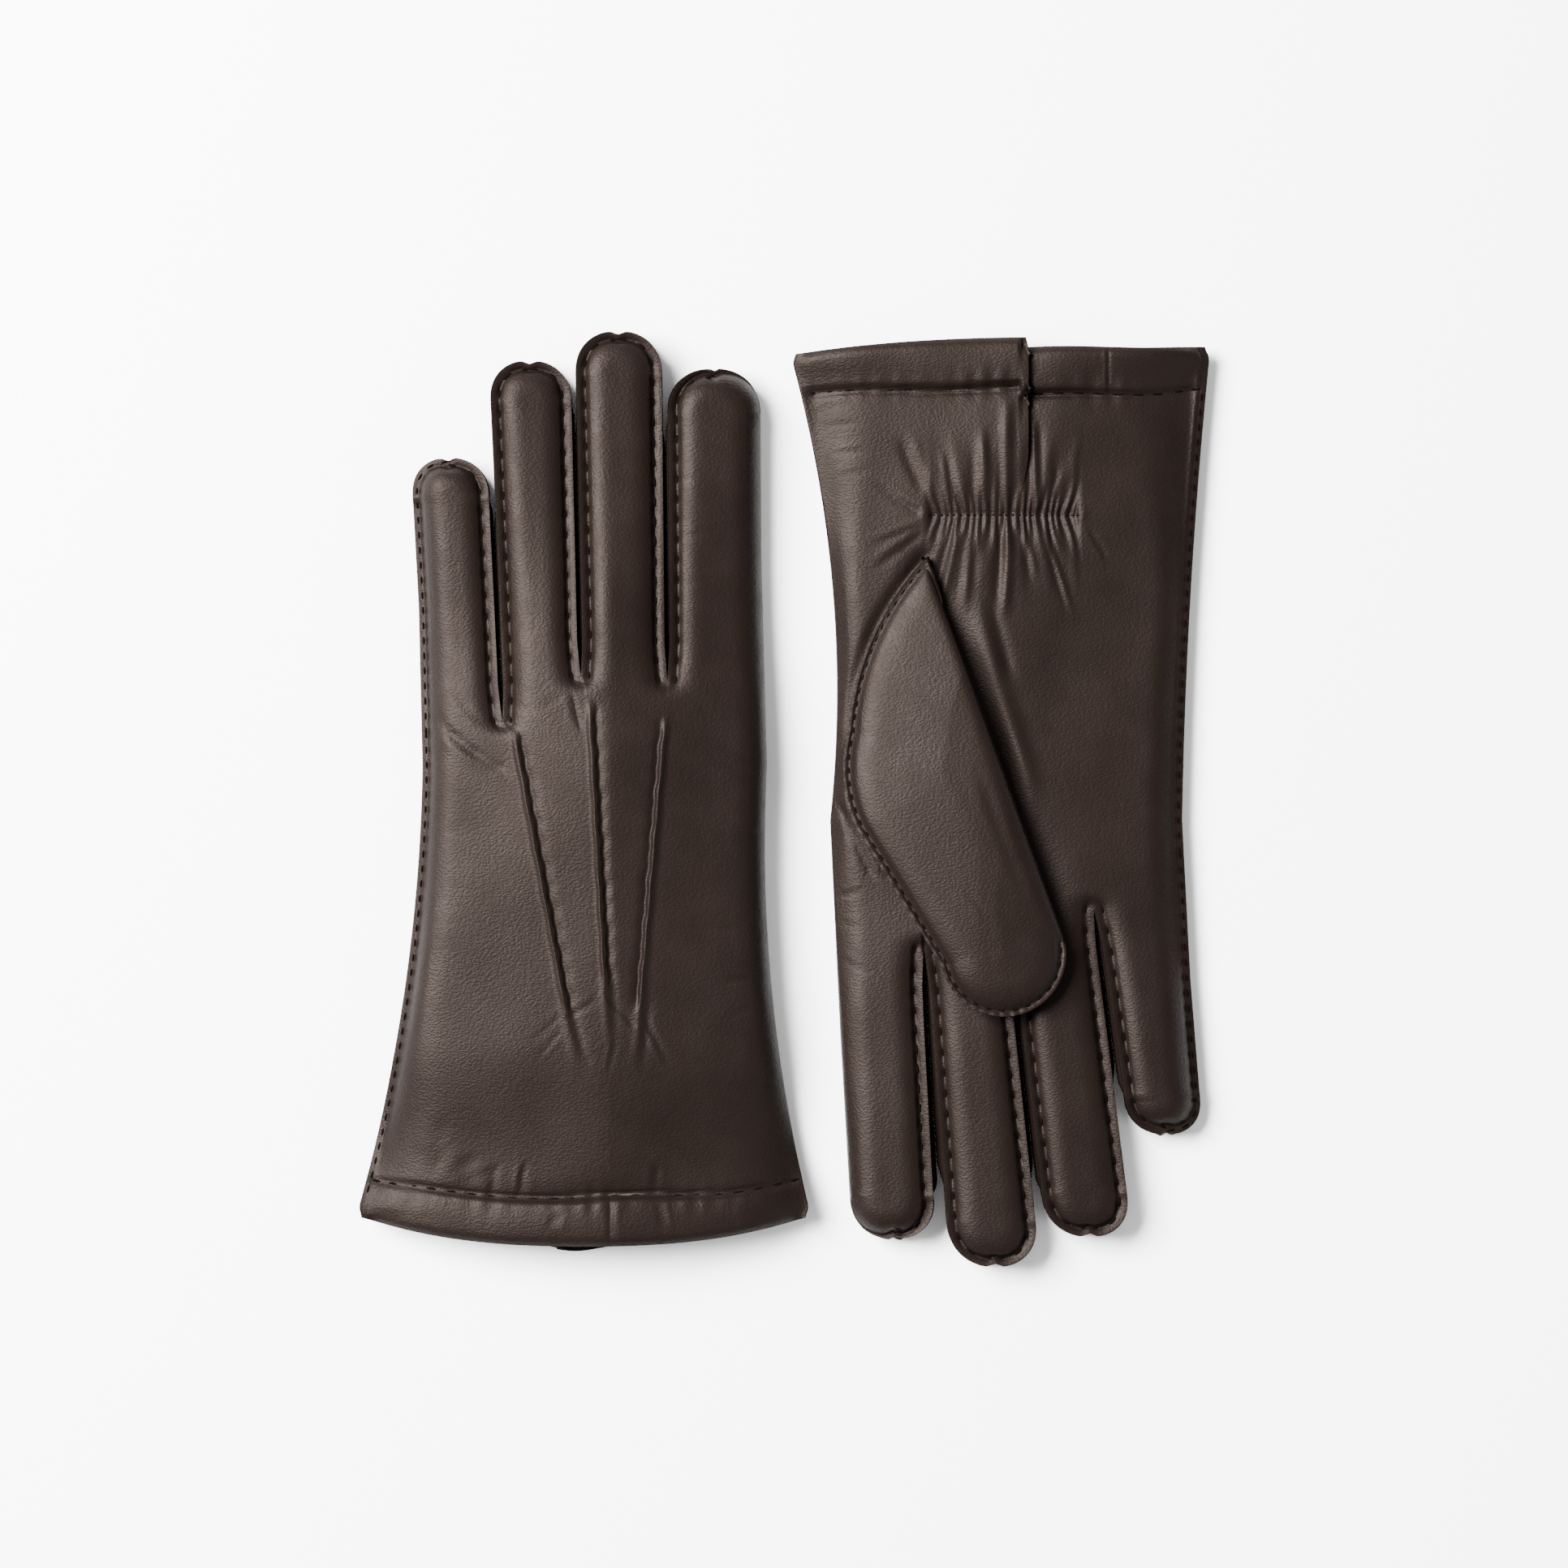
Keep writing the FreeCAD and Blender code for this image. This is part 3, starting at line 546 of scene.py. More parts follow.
# Where one finger's strip gives way to the next in the hand. On the back they follow the points.
belowPoints = (((-31.0, 0.0), (-12.0, 30.0)), ((3.0, 0.0), (5.0, 40.0)), ((31.0, 0.0), (20.0, 35.0)))
backLines = tuple(low + line[::-1] for low, line in zip(belowPoints, pointShape["lines"]))
palmLines = (
    ((-30.0, 0.0), (-26.0, 60.0), (-24.0, 140.0)),
    ((palmShape["ventU"], 0.0), (palmShape["ventU"], palmShape["ventEnd"]), (-4.0, 90.0)),
    ((25.0, 0.0), (22.5, 60.0), (21.5, 140.0)),
)


surfaceShape = {
    # fingers are tilted from here on, and less where the leather goes down
    "tiltV": (148, 172), "tiltDrop": 6,
    # the back's detail goes into the leather by "sunk", and by "pressed" more where it lies on the table
    "sunk": 0.3, "pressed": 0.9,
    # the cuff hangs down with the hand behind it: what share of its sag, and up to where
    "cuffShare": 0.75, "cuffV": (4, 48), "sagV": 100.0,
}


def surfaceW(glove, sheet, i, u, v):
    # The outer face of the leather, kept off the table that the glove lies on
    lines = backLines if sheet == "back" else palmLines
    drop = sheetDrop(glove, i, u, v, lines)
    tilt = glove.shape["tilt"][i] * (u - glove.centreU(i, v)) * smooth(*surfaceShape["tiltV"], v)
    tilt = tilt * (1 - 0.5 * np.clip(drop / surfaceShape["tiltDrop"], 0, 1))
    # back and palm come together at the fold and at the side seam, so nothing else moves them there
    free = 1.0
    if i == 3:
        free = smooth(0, 4, glove.laneEdge(3, 1, v, lines) - u)
    if i == 0:
        free = smooth(0, 5, u - glove.laneEdge(0, -1, v, lines))
    if sheet == "back":
        w = glove.backLevel(v) - drop + (backDetail(glove, u, v) - surfaceShape["sunk"]) * free
        if glove.side < 0:
            return np.minimum(w - surfaceShape["pressed"] * free, glove.tube)
        cuff = surfaceShape["cuffShare"] * fade(*surfaceShape["cuffV"], v)
        cuff = cuff * (1 - np.clip(2 * drop / glove.thickness(v), 0, 1) ** 2)
        return w - glove.sag(u, v) - cuff * glove.sag(u, surfaceShape["sagV"]) + tilt
    w = glove.palmLevel(v) + drop - palmDetail(glove, i, u, v) * free
    if glove.side > 0:
        return np.maximum(w - glove.sag(u, v), 0.0)
    return w + (glove.sag(u, v) + tilt) * (1 - np.clip(drop / (0.5 * glove.tube), 0, 1) ** 2)


def columnShares(half, fine, coarse, zone=3.6):
    # Columns across a strip, from -1 to 1, close together within a zone along both edges
    edge = zone / half
    outer = np.linspace(-1, -1 + edge, fine, endpoint=False)
    middle = np.linspace(-1 + edge, 1 - edge, coarse, endpoint=False)
    inner = np.linspace(1 - edge, 1, fine + 1)
    return np.concatenate((outer, middle, inner))


def crowded(shares, fine, v):
    # The same columns, drawn closer to the strip's edges below the knuckles
    edge = 1 + shares[fine]
    near = np.minimum(1 + shares, 1 - shares)
    closer = np.where(near < edge, edge * (near / edge) ** 1.45, near)
    moved = np.where(shares < 0, closer - 1, 1 - closer)
    return shares + (moved - shares) * fade(116, 138, v)


def fingerRows(glove, i):
    # Heights along the finger: shared by all fingers up to the last slit, then its own, then its tip
    finger = glove.fingers[i]
    shared = np.arange(handShape["splitV"], handShape["sharedV"] + 0.01, 1.0)
    count = max(2, int(round(finger["tipV"] - shared[-1])))
    own = np.linspace(shared[-1], finger["tipV"], count + 1)[1:]
    turn = np.linspace(0, math.pi / 2, 22)[1:]
    return np.concatenate((shared, own, finger["tipV"] + finger["radius"] * np.sin(turn)))


class Skin:
    # Collects strips of leather and welds what they share, to a fiftieth of a millimetre
    places = 50

    def __init__(self):
        self.index = {}
        self.points = []
        self.faces = {}

    def vertex(self, u, v, w, tag):
        key = (int(round(u * self.places)), int(round(v * self.places)), tag)
        if key not in self.index:
            self.index[key] = len(self.points)
            self.points.append((u, v, w))
        return self.index[key]

    def addStrip(self, piece, u, v, w, sheet, flip, fold=(None, 0)):
        # The leather goes on into the other sheet at one column, for a number of rows
        rows, columns = u.shape
        ids = [[self.vertex(u[r, c], v[r, c], w[r, c], "fold" if c == fold[0] and r < fold[1] else sheet)
                for c in range(columns)] for r in range(rows)]
        faces = self.faces.setdefault(piece, [])
        for r in range(rows - 1):
            for c in range(columns - 1):
                quad = [ids[r][c], ids[r][c + 1], ids[r + 1][c + 1], ids[r + 1][c]]
                quad = [q for n, q in enumerate(quad) if q != quad[n - 1]]
                if len(set(quad)) < 3:
                    continue
                faces.append(quad[::-1] if flip else quad)

    def normals(self):
        points = np.array(self.points)
        found = np.zeros_like(points)
        for faces in self.faces.values():
            for size in (3, 4):
                chosen = np.array([f for f in faces if len(f) == size])
                if not len(chosen):
                    continue
                a, b, c = points[chosen[:, 0]], points[chosen[:, 1]], points[chosen[:, 2]]
                d = points[chosen[:, 3]] if size == 4 else a
                across = np.cross(c - a, (d - b) if size == 4 else (c - b))
                for column in range(size):
                    np.add.at(found, chosen[:, column], across)
        return found / np.maximum(np.linalg.norm(found, axis=1, keepdims=True), 1e-9)


def addObject(name, data):
    made = bpy.data.objects.new(name, data)
    bpy.context.scene.collection.objects.link(made)
    return made


def newPiece(name, glove, points, faces, material, normals):
    if glove.side < 0:
        faces = [f[::-1] for f in faces]
    mesh = bpy.data.meshes.new(name)
    mesh.from_pydata(glove.world(points).tolist(), [], faces)
    mesh.materials.append(material)
    mesh.polygons.foreach_set("use_smooth", [True] * len(mesh.polygons))
    mesh.update()
    mesh.normals_split_custom_set_from_vertices((normals * glove.side).tolist())
    return addObject(name, mesh)


def shellPiece(name, glove, points, normals, faces, thickness, material):
    # A closed sheet of leather: its outer face, its flesh side and the cut edge between them
    used = sorted({i for f in faces for i in f})
    place = {old: new for new, old in enumerate(used)}
    outer = points[used]
    normal = normals[used]
    deep = thickness[used][:, None] if np.ndim(thickness) else thickness
    inner = outer - normal * deep
    count = len(used)
    polygons = [[place[i] for i in f] for f in faces]
    edges = {(a, f[(n + 1) % len(f)]): True for f in polygons for n, a in enumerate(f)}
    edges = [(a, b) for a, b in edges if (b, a) not in edges]
    everything = polygons + [[i + count for i in reversed(f)] for f in polygons]
    everything += [[b, a, a + count, b + count] for a, b in edges]
    both = np.vstack((normal, -normal))
    return newPiece(name, glove, np.vstack((outer, inner)), everything, material, both)


print("materials")


def wire(tree, value, socket):
    if hasattr(value, "links"):
        tree.links.new(value, socket)
    else:
        socket.default_value = value


def addNode(tree, kind, inputs=None, **settings):
    # Each input is either a value or another node's output
    node = tree.nodes.new(kind)
    for key, value in settings.items():
        setattr(node, key, value)
    for key, value in (inputs or {}).items():
        wire(tree, value, node.inputs[key])
    return node


def mathNode(tree, operation, *values):
    return addNode(tree, "ShaderNodeMath", dict(enumerate(values)), operation=operation).outputs[0]


def rangeNode(tree, value, low, high, toLow, toHigh):
    inputs = {"Value": value, "From Min": low, "From Max": high, "To Min": toLow, "To Max": toHigh}
    return addNode(tree, "ShaderNodeMapRange", inputs).outputs["Result"]


def noiseNode(tree, vector, scale, detail, **settings):
    inputs = {"Vector": vector, "Scale": scale, "Detail": detail}
    return addNode(tree, "ShaderNodeTexNoise", inputs, **settings)


def grainGroup():
    # Pebbles and short wandering wrinkles of fine glove leather
    tree = bpy.data.node_groups.new("napaGrain", "ShaderNodeTree")
    for name, start in (("Pebble", 1900.0), ("Wrinkle", 900.0)):
        socket = tree.interface.new_socket(name, in_out="INPUT", socket_type="NodeSocketFloat")
        socket.default_value = start
    for name in ("Height", "Tone", "Wear"):
        tree.interface.new_socket(name, in_out="OUTPUT", socket_type="NodeSocketFloat")
    given = addNode(tree, "NodeGroupInput").outputs
    place = addNode(tree, "ShaderNodeTexCoord").outputs["Object"]
    sway = noiseNode(tree, place, 260.0, 2.0).outputs["Color"]
    bend = addNode(tree, "ShaderNodeVectorMath", {0: sway, 1: (0.0016, 0.0016, 0.0016), 2: place},
                   operation="MULTIPLY_ADD").outputs[0]
    squeeze = addNode(tree, "ShaderNodeVectorMath", {0: bend, 1: (0.62, 1.0, 1.0)},
                      operation="MULTIPLY").outputs[0]
    cells = addNode(tree, "ShaderNodeTexVoronoi", {"Vector": squeeze, "Scale": given["Pebble"]}, feature="F1")
    wrinkle = noiseNode(tree, squeeze, given["Wrinkle"], 2.0, noise_type="RIDGED_MULTIFRACTAL")
    patches = noiseNode(tree, place, 38.0, 4.0).outputs["Fac"]
    pebble = rangeNode(tree, cells.outputs["Distance"], 0.0, 0.75, 1.0, 0.0)
    lines = rangeNode(tree, wrinkle.outputs["Fac"], 0.55, 1.3, 0.0, 1.0)
    lines = mathNode(tree, "MULTIPLY", lines, rangeNode(tree, patches, 0.35, 0.7, 0.35, 1.0))
    wear = noiseNode(tree, place, 120.0, 5.0).outputs["Fac"]
    addNode(tree, "NodeGroupOutput", {
        "Height": mathNode(tree, "SUBTRACT", mathNode(tree, "MULTIPLY", pebble, 0.45), lines),
        "Tone": patches,
        "Wear": rangeNode(tree, wear, 0.4, 0.7, 0.0, 1.0),
    })
    return tree


grain = grainGroup()


def plainMaterial(name, color, roughness, shine=0.1):
    material = bpy.data.materials.new(name)
    material.use_nodes = True
    shader = material.node_tree.nodes["Principled BSDF"]
    shader.inputs["Base Color"].default_value = (*color, 1)
    shader.inputs["Roughness"].default_value = roughness
    shader.inputs["Specular IOR Level"].default_value = shine
    return material


def addBump(tree, shader, height, strength, distance):
    bump = addNode(tree, "ShaderNodeBump", {"Strength": strength, "Distance": distance, "Height": height})
    wire(tree, bump.outputs["Normal"], shader.inputs["Normal"])


def leatherMaterial(name, dark, light, roughness, strength, shine):
    material = plainMaterial(name, dark, roughness, shine)
    tree = material.node_tree
    shader = tree.nodes["Principled BSDF"]
    group = addNode(tree, "ShaderNodeGroup", node_tree=grain).outputs
    mix = addNode(tree, "ShaderNodeMix", data_type="RGBA")
    wire(tree, rangeNode(tree, group["Tone"], 0.3, 0.7, 0.0, 1.0), mix.inputs["Factor"])
    mix.inputs["A"].default_value = (*dark, 1)
    mix.inputs["B"].default_value = (*light, 1)
    wire(tree, mix.outputs["Result"], shader.inputs["Base Color"])
    worn = rangeNode(tree, group["Wear"], 0.0, 1.0, roughness - 0.03, roughness + 0.05)
    wire(tree, worn, shader.inputs["Roughness"])
    # the gloss of brown leather is a little brown itself
    shader.inputs["Specular Tint"].default_value = (1.0, 0.83, 0.77, 1)
    addBump(tree, shader, group["Height"], strength, 0.00016)
    return material


def knitMaterial():
    # Rows of small loops
    material = plainMaterial("knitLining", (0.022, 0.017, 0.014), 0.92)
    tree = material.node_tree
    place = addNode(tree, "ShaderNodeTexCoord").outputs["Object"]
    bands = [addNode(tree, "ShaderNodeTexWave", {"Vector": place, "Scale": scale}, bands_direction=way)
             for way, scale in (("X", 260.0), ("Y", 200.0))]
    loops = mathNode(tree, "MULTIPLY", *(band.outputs["Fac"] for band in bands))
    addBump(tree, tree.nodes["Principled BSDF"], loops, 0.6, 0.0004)
    return material


nappa = leatherMaterial("dressLeather", (0.0031, 0.0019, 0.0015), (0.0042, 0.0026, 0.0021),
                        roughness=0.48, strength=0.85, shine=0.069)
sideLeather = leatherMaterial("fourchetteLeather", (0.0040, 0.0025, 0.0020), (0.0055, 0.0034, 0.0028),
                              roughness=0.8, strength=0.5, shine=0.0)
lining = knitMaterial()
thread = plainMaterial("waxedThread", (0.0022, 0.0015, 0.0013), 0.8, 0.0)

print("glove skins")
gloves = [Glove("left"), Glove("right")]
leatherShape = {
    # columns of a strip: fine ones at each edge, and those between, which gathers and creases need more of
    "half": 10.8, "fine": 9, "coarse": 13, "gathered": 34, "rows": 141,
    # the cut edge, the leather at a seam, and the hem's second layer, which ends short of the stitches
    "cut": 0.25, "atSeam": 0.3, "hemLayer": 1.1, "hemEnd": (12.6, 13.2),
}


def makeSkin(glove):
    skin = Skin()
    for sheet in ("back", "palm"):
        lines = backLines if sheet == "back" else palmLines
        for i, finger in enumerate(glove.fingers):
            coarse = leatherShape["coarse" if sheet == "back" or i in (0, 3) else "gathered"]
            shares = columnShares(leatherShape["half"], leatherShape["fine"], coarse)
            handRows = np.linspace(0, 1, leatherShape["rows"])
            v = np.repeat((handRows * handShape["splitV"])[:, None], len(shares), axis=1)
            # the cuff is not straight, so the sides and the rows settle in a few steps
            for step in range(3):
                left = glove.laneEdge(i, -1, v, lines)
                right = glove.laneEdge(i, 1, v, lines)
                across = crowded(shares, leatherShape["fine"], v) if sheet == "back" else shares
                u = left + (right - left) * (across + 1) / 2
                cuff = glove.cuffV(u, sheet)
                v = cuff + handRows[:, None] * (handShape["splitV"] - cuff)
            # back and palm are one piece of leather at the index finger's side
            foldColumn = len(shares) - 1 if i == 3 else None
            if sheet == "palm" and i in (1, 2):
                u = lapVent(i, u, v, shares)
            w = surfaceW(glove, sheet, i, u, v)
            skin.addStrip("hand", u, v, w, sheet, sheet == "palm", (foldColumn, len(handRows)))
            rows = fingerRows(glove, i)
            v = np.repeat(rows[:, None], len(shares), axis=1)
            body = np.minimum(rows, finger["tipV"])[:, None]
            left = glove.laneEdge(i, -1, body, lines)
            right = glove.laneEdge(i, 1, body, lines)
            middle = (left + right) / 2 - finger["slope"] * (rows[:, None] - body)
            narrow = roundTip((rows[:, None] - finger["tipV"]) / finger["radius"])
            u = middle + (right - left) / 2 * narrow * shares
            w = surfaceW(glove, sheet, i, u, v)
            x = u - glove.centreU(i, v)
            notch = 1.0 * bell(x, 1.5) * smooth(finger["endV"] - 5, finger["endV"], v)
            folded = (foldColumn, np.count_nonzero(rows <= finger["tipV"]))
            skin.addStrip(finger["name"], u, v - notch, w, sheet, sheet == "palm", folded)
    return skin


def lapVent(i, u, v, shares):
    # The two flaps of the vent go past each other toward the cuff
    past = fade(palmShape["ventEnd"] - 14, palmShape["ventEnd"], v)
    if i == 2:
        return u - palmShape["lap"] * past * (1 - shares) / 2
    return u + palmShape["lapBack"] * past * (1 + shares) / 2


trank = {}
for glove in gloves:
    skin = makeSkin(glove)
    points, normals = np.array(skin.points), skin.normals()
    # the cuff is turned in and hemmed, so it is two layers deep behind its rounded edge
    cut, atSeam = leatherShape["cut"], leatherShape["atSeam"]
    fromEdge = points[:, 1] - glove.cuffV(points[:, 0], "back")
    deep = cut + (handShape["leather"] - cut) * smooth(0, 0.6, fromEdge)
    left, right = glove.sides(points[:, 1])
    side = np.minimum(points[:, 0] - left, right - points[:, 0])
    deep = deep * (atSeam + (1 - atSeam) * smooth(0, 2.2, side))
    hemmed = smooth(0.5, 2.5, fromEdge) * fade(*leatherShape["hemEnd"], fromEdge)
    deep = deep + leatherShape["hemLayer"] * hemmed * smooth(3, 10, side)
    for part, faces in skin.faces.items():
        name = glove.name + "_" + part + "_leather"
        trank[glove.name, part] = shellPiece(name, glove, points, normals, faces, deep, nappa)
    print(glove.name, len(points), "points")

print("thumbs")


def thumbGrid():
    # Rows across the thumb from its point to its tip, and columns from the folded side to the sewn one
    apex, tip = thumbOuter[0], np.array(thumbShape["tip"]) + (0, handShape["rootV"])
    along = (tip - apex) / np.linalg.norm(tip - apex)
    across = np.array((along[1], -along[0]))
    half = len(thumbCap) // 2
    high = np.vstack((thumbOuter, thumbCap[1:half])) - apex
    low = np.vstack((thumbBack[::-1], thumbCap[::-1][1:half])) - apex
    end = float((tip - apex) @ along)
    turnAt = float((thumbCap[0] - apex) @ along)
    rows = np.concatenate((np.linspace(0.25, 6, 14), np.arange(6.7, turnAt, 0.72),
                           turnAt + (end - turnAt) * np.sin(np.linspace(0, math.pi / 2, 34))))
    highX = np.interp(rows, np.append(high @ along, end), np.append(high @ across, 0.0))
    lowX = np.interp(rows, np.append(low @ along, end), np.append(low @ across, 0.0))
    shares = columnShares(*thumbLook["columns"])
    x = lowX[:, None] + (highX - lowX)[:, None] * (shares + 1) / 2
    u = apex[0] + rows[:, None] * along[0] + x * across[0]
    v = apex[1] + rows[:, None] * along[1] + x * across[1]
    return u, v


def roundOff(d, reach):
    # From 1 at an edge to 0 at the reach away from it
    t = np.clip(1 - d / reach, 0, 1)
    return 1 - (1 - t ** 2.1) ** (1 / 1.9)


thumbLook = {
    # half its width, its fine and coarse columns, and the zone of the fine ones
    "columns": (20, 12, 34, 4.2),
    # the seam allowance stands proud of a sunk line, and "gap" is the room between thumb and palm
    "flange": 1.25, "proud": 0.95, "sunk": 0.45, "gap": 1.0, "reach": 8.0, "foldReach": 10.5,
    # the sewn side slopes down toward the thumb's root by this much
    "slope": 3.4,
    "creases": (((6, 118), (-6, 150), 0.2, 1.4), ((10, 150), (4, 156), 0.1, 0.6)),
}


def apexShare(u, v):
    # 1 at the thumb's point, where it lies down on the palm, falling to 0 further along
    apexU, apexV = thumbShape["apex"][0], thumbShape["apex"][1] + handShape["rootV"]
    return fade(1, 34, np.hypot(u - apexU, v - apexV))


def thumbLevels(glove, u, v):
    # Where the thumb's outer face and the face toward the palm lie
    outer = glove.lift - handShape["thumbGap"] - glove.thumbTall
    return outer, glove.palmLevel(v) - thumbLook["gap"] * (1 - 0.7 * apexShare(u, v))


def thumbSurface(glove, sheet, u, v):
    seam, where = distanceTo(thumbSeam, u, v)
    fold = distanceTo(thumbBack, u, v)[0]
    low, high = thumbLevels(glove, u, v)
    flat = apexShare(u, v)
    hang = -glove.side * glove.sag(u, v)
    high = high + hang
    # the left glove's thumb lies on the table
    low = low + (0 if glove.side > 0 else hang)
    tall = high - low
    share = 0.07 + 0.33 * smooth(0.28, 0.5, where)
    if sheet == "outer":
        steep = roundOff(seam - thumbLook["flange"], thumbLook["reach"])
        seamDrop = tall * (1 - share) * (0.62 * steep + 0.38 * np.clip(1 - seam / 27, 0, 1) ** 1.1)
        foldDrop = tall * (0.55 + 0.4 * flat) * roundOff(fold, thumbLook["foldReach"])
        seamDrop = seamDrop + thumbLook["slope"] * fade(55, 172, v) * (1 - steep)
        drop = np.minimum(softMax(seamDrop, foldDrop), tall * 0.96)
        flange = fade(thumbLook["flange"] - 0.35, thumbLook["flange"] + 0.35, seam)
        groove = bell(seam - thumbLook["flange"] - 0.9, 0.9)
        ripple = 0.12 * np.sin(where * 330)
        proud = (thumbLook["proud"] + ripple) * (1 - 0.75 * flat)
        w = low + drop - proud * flange * (fold > 0.5) + thumbLook["sunk"] * groove
        w = w - 0.35 * softWaves(u, v, 0.7) * smooth(2, 10, seam)
        for start, end, depth, width in thumbLook["creases"]:
            w = w - crease(u, v, (start, end), depth, width)
        return np.maximum(w, 0.0) if glove.side > 0 else w
    seamDrop = tall * share * roundOff(seam, 6.0)
    foldDrop = tall * (0.45 - 0.4 * flat) * roundOff(fold, 7.0)
    w = high - np.minimum(softMax(seamDrop, foldDrop), tall * 0.5)
    # it gives way where the palm's seams hang down
    return w - 0.5 * smooth(0, 6, np.minimum(seam, fold))


thumbs = {}
for glove in gloves:
    u, v = thumbGrid()
    skin = Skin()
    for sheet in ("outer", "inner"):
        w = thumbSurface(glove, sheet, u, v)
        skin.addStrip("thumb", u, v, w, sheet, sheet == "outer", (0, len(u)))
    thumbs[glove.name] = shellPiece(glove.name + "_thumb_leather", glove, np.array(skin.points),
                                    skin.normals(), skin.faces["thumb"], handShape["leather"], nappa)

print("side strips")
# The side seam's stitches start at this height
sideStart = 16.0
stripShape = {
    "inset": 0.9, "tipInset": 0.4, "bulge": 0.9, "tipBulge": 0.5, "most": 1.7, "under": 0.8, "thick": 0.6,
}


def gridNormals(points):
    rows = np.gradient(points, axis=0)
    columns = np.gradient(points, axis=1)
    across = np.cross(rows, columns)
    return across / np.maximum(np.linalg.norm(across, axis=2, keepdims=True), 1e-9)


def gridFaces(rows, columns, first=0):
    return [[first + r * columns + c, first + r * columns + c + 1, first + (r + 1) * columns + c + 1,
             first + (r + 1) * columns + c] for r in range(rows - 1) for c in range(columns - 1)]


def fingerEdge(glove, i, hand):
    # A walk along one side of a finger from its slit round to the middle of the tip, and the way inward
    finger = glove.fingers[i]
    k = i if hand > 0 else i - 1
    start = glove.crotchPoint(k)[1] if 0 <= k <= 2 else sideStart
    v = np.append(np.arange(start, finger["tipV"] - 0.5, 1.1), finger["tipV"])
    u = glove.laneEdge(i, hand, v, backLines)
    turn = np.linspace(0, 1, 18)[1:] * math.radians(84)
    tipU = float(glove.centreU(i, finger["tipV"]))
    lean = finger["slope"] * finger["radius"]
    aroundU = tipU + hand * finger["radius"] * roundTip(np.sin(turn)) - lean * np.sin(turn)
    u = np.append(u, aroundU)
    v = np.append(v, finger["tipV"] + finger["radius"] * np.sin(turn))
    bodyV = np.minimum(v, finger["tipV"])
    du, dv = glove.centreU(i, bodyV) - u, bodyV - v
    size = np.maximum(np.hypot(du, dv), 1e-6)
    return u, v, du / size, dv / size


def sideStrip(glove, i, hand):
    # A band from the back seam to the palm seam, swelling toward the next finger where that is close
    u, v, inU, inV = fingerEdge(glove, i, hand)
    tipV = glove.fingers[i]["tipV"]
    between = 0 <= (i if hand > 0 else i - 1) <= 2
    if not between:
        u, v, inU, inV = (part[v > tipV - 2] for part in (u, v, inU, inV))
    turn = np.linspace(0, 1, 9)
    inTip = smooth(tipV - 5, tipV + 3, v)[:, None]
    bulge = np.full((len(v), 1), stripShape["bulge"])
    if between:
        other = glove.laneEdge(i + hand, -hand, v, backLines)
        otherTip = glove.fingers[i + hand]["tipV"]
        room = np.clip(0.46 * hand * (other - u), 0.0, stripShape["most"])
        bulge = bulge + (fade(otherTip - 10, otherTip - 2, v) * room)[:, None]
    bulge = bulge + (stripShape["tipBulge"] - bulge) * inTip
    inset = stripShape["inset"] + stripShape["tipInset"] * inTip - bulge * np.sin(math.pi * turn) ** 0.8
    bandU, bandV = u + stripShape["inset"] * inU, v + stripShape["inset"] * inV
    top = surfaceW(glove, "back", i, bandU, bandV) - stripShape["under"]
    bottom = surfaceW(glove, "palm", i, bandU, bandV) + stripShape["under"]
    top = np.maximum(top, bottom + 0.3)
    points = np.stack((u[:, None] + inU[:, None] * inset, v[:, None] + inV[:, None] * inset,
                       top[:, None] + (bottom - top)[:, None] * turn), axis=2)
    if hand > 0:
        points = points[:, ::-1]
    return points


strips = {}
for glove in gloves:
    for i, finger in enumerate(glove.fingers):
        parts, normals, faces, first = [], [], [], 0
        for hand in (-1, 1):
            grid = sideStrip(glove, i, hand)
            parts.append(grid.reshape(-1, 3))
            normals.append(gridNormals(grid).reshape(-1, 3))
            faces += gridFaces(grid.shape[0], grid.shape[1], first)
            first += parts[-1].shape[0]
        faces = [f[::-1] for f in faces]
        strips[glove.name, finger["name"]] = shellPiece(
            glove.name + "_" + finger["name"] + "_side_leather", glove, np.vstack(parts),
            np.vstack(normals), faces, stripShape["thick"], sideLeather)

print("lining")


def handSurface(glove, sheet, u, v):
    # The leather's level anywhere in the hand, whichever finger's strip is there
    lines = backLines if sheet == "back" else palmLines
    w = surfaceW(glove, sheet, 0, u, v)
    for i in (1, 2, 3):
        w = np.where(u > glove.laneEdge(i, -1, v, lines), surfaceW(glove, sheet, i, u, v), w)
    return w


def tube(u, v, back, palm, closed):
    # Two sheets that meet at their sides, as one ring of points per row
    back = np.maximum(back, palm + 0.25)
    middle = (back + palm) / 2
    back[:, (0, -1)] = middle[:, (0, -1)]
    upper, lower = np.stack((u, v, back), axis=2), np.stack((u, v, palm), axis=2)
    loop = np.concatenate((upper, lower[:, -2:0:-1]), axis=1)
    rows, columns = loop.shape[:2]
    points = loop.reshape(-1, 3)
    ahead = [(c + 1) % columns for c in range(columns)]
    faces = [[r * columns + c, r * columns + ahead[c], (r + 1) * columns + ahead[c], (r + 1) * columns + c]
             for r in range(rows - 1) for c in range(columns)]
    if closed:
        points = np.vstack((points, loop[-1].mean(axis=0)))
        last = (rows - 1) * columns
        faces += [[last + c, last + ahead[c], rows * columns] for c in range(columns)]
    return points, [f[::-1] for f in faces]


def meshNormals(points, faces):
    # Outward directions at the points, from the faces around them
    found = np.zeros_like(points)
    for f in faces:
        a, b, c = points[f[0]], points[f[1]], points[f[2]]
        across = np.cross(b - a, c - a)
        for n in f:
            found[n] += across
    return found / np.maximum(np.linalg.norm(found, axis=1, keepdims=True), 1e-9)


linings = {}
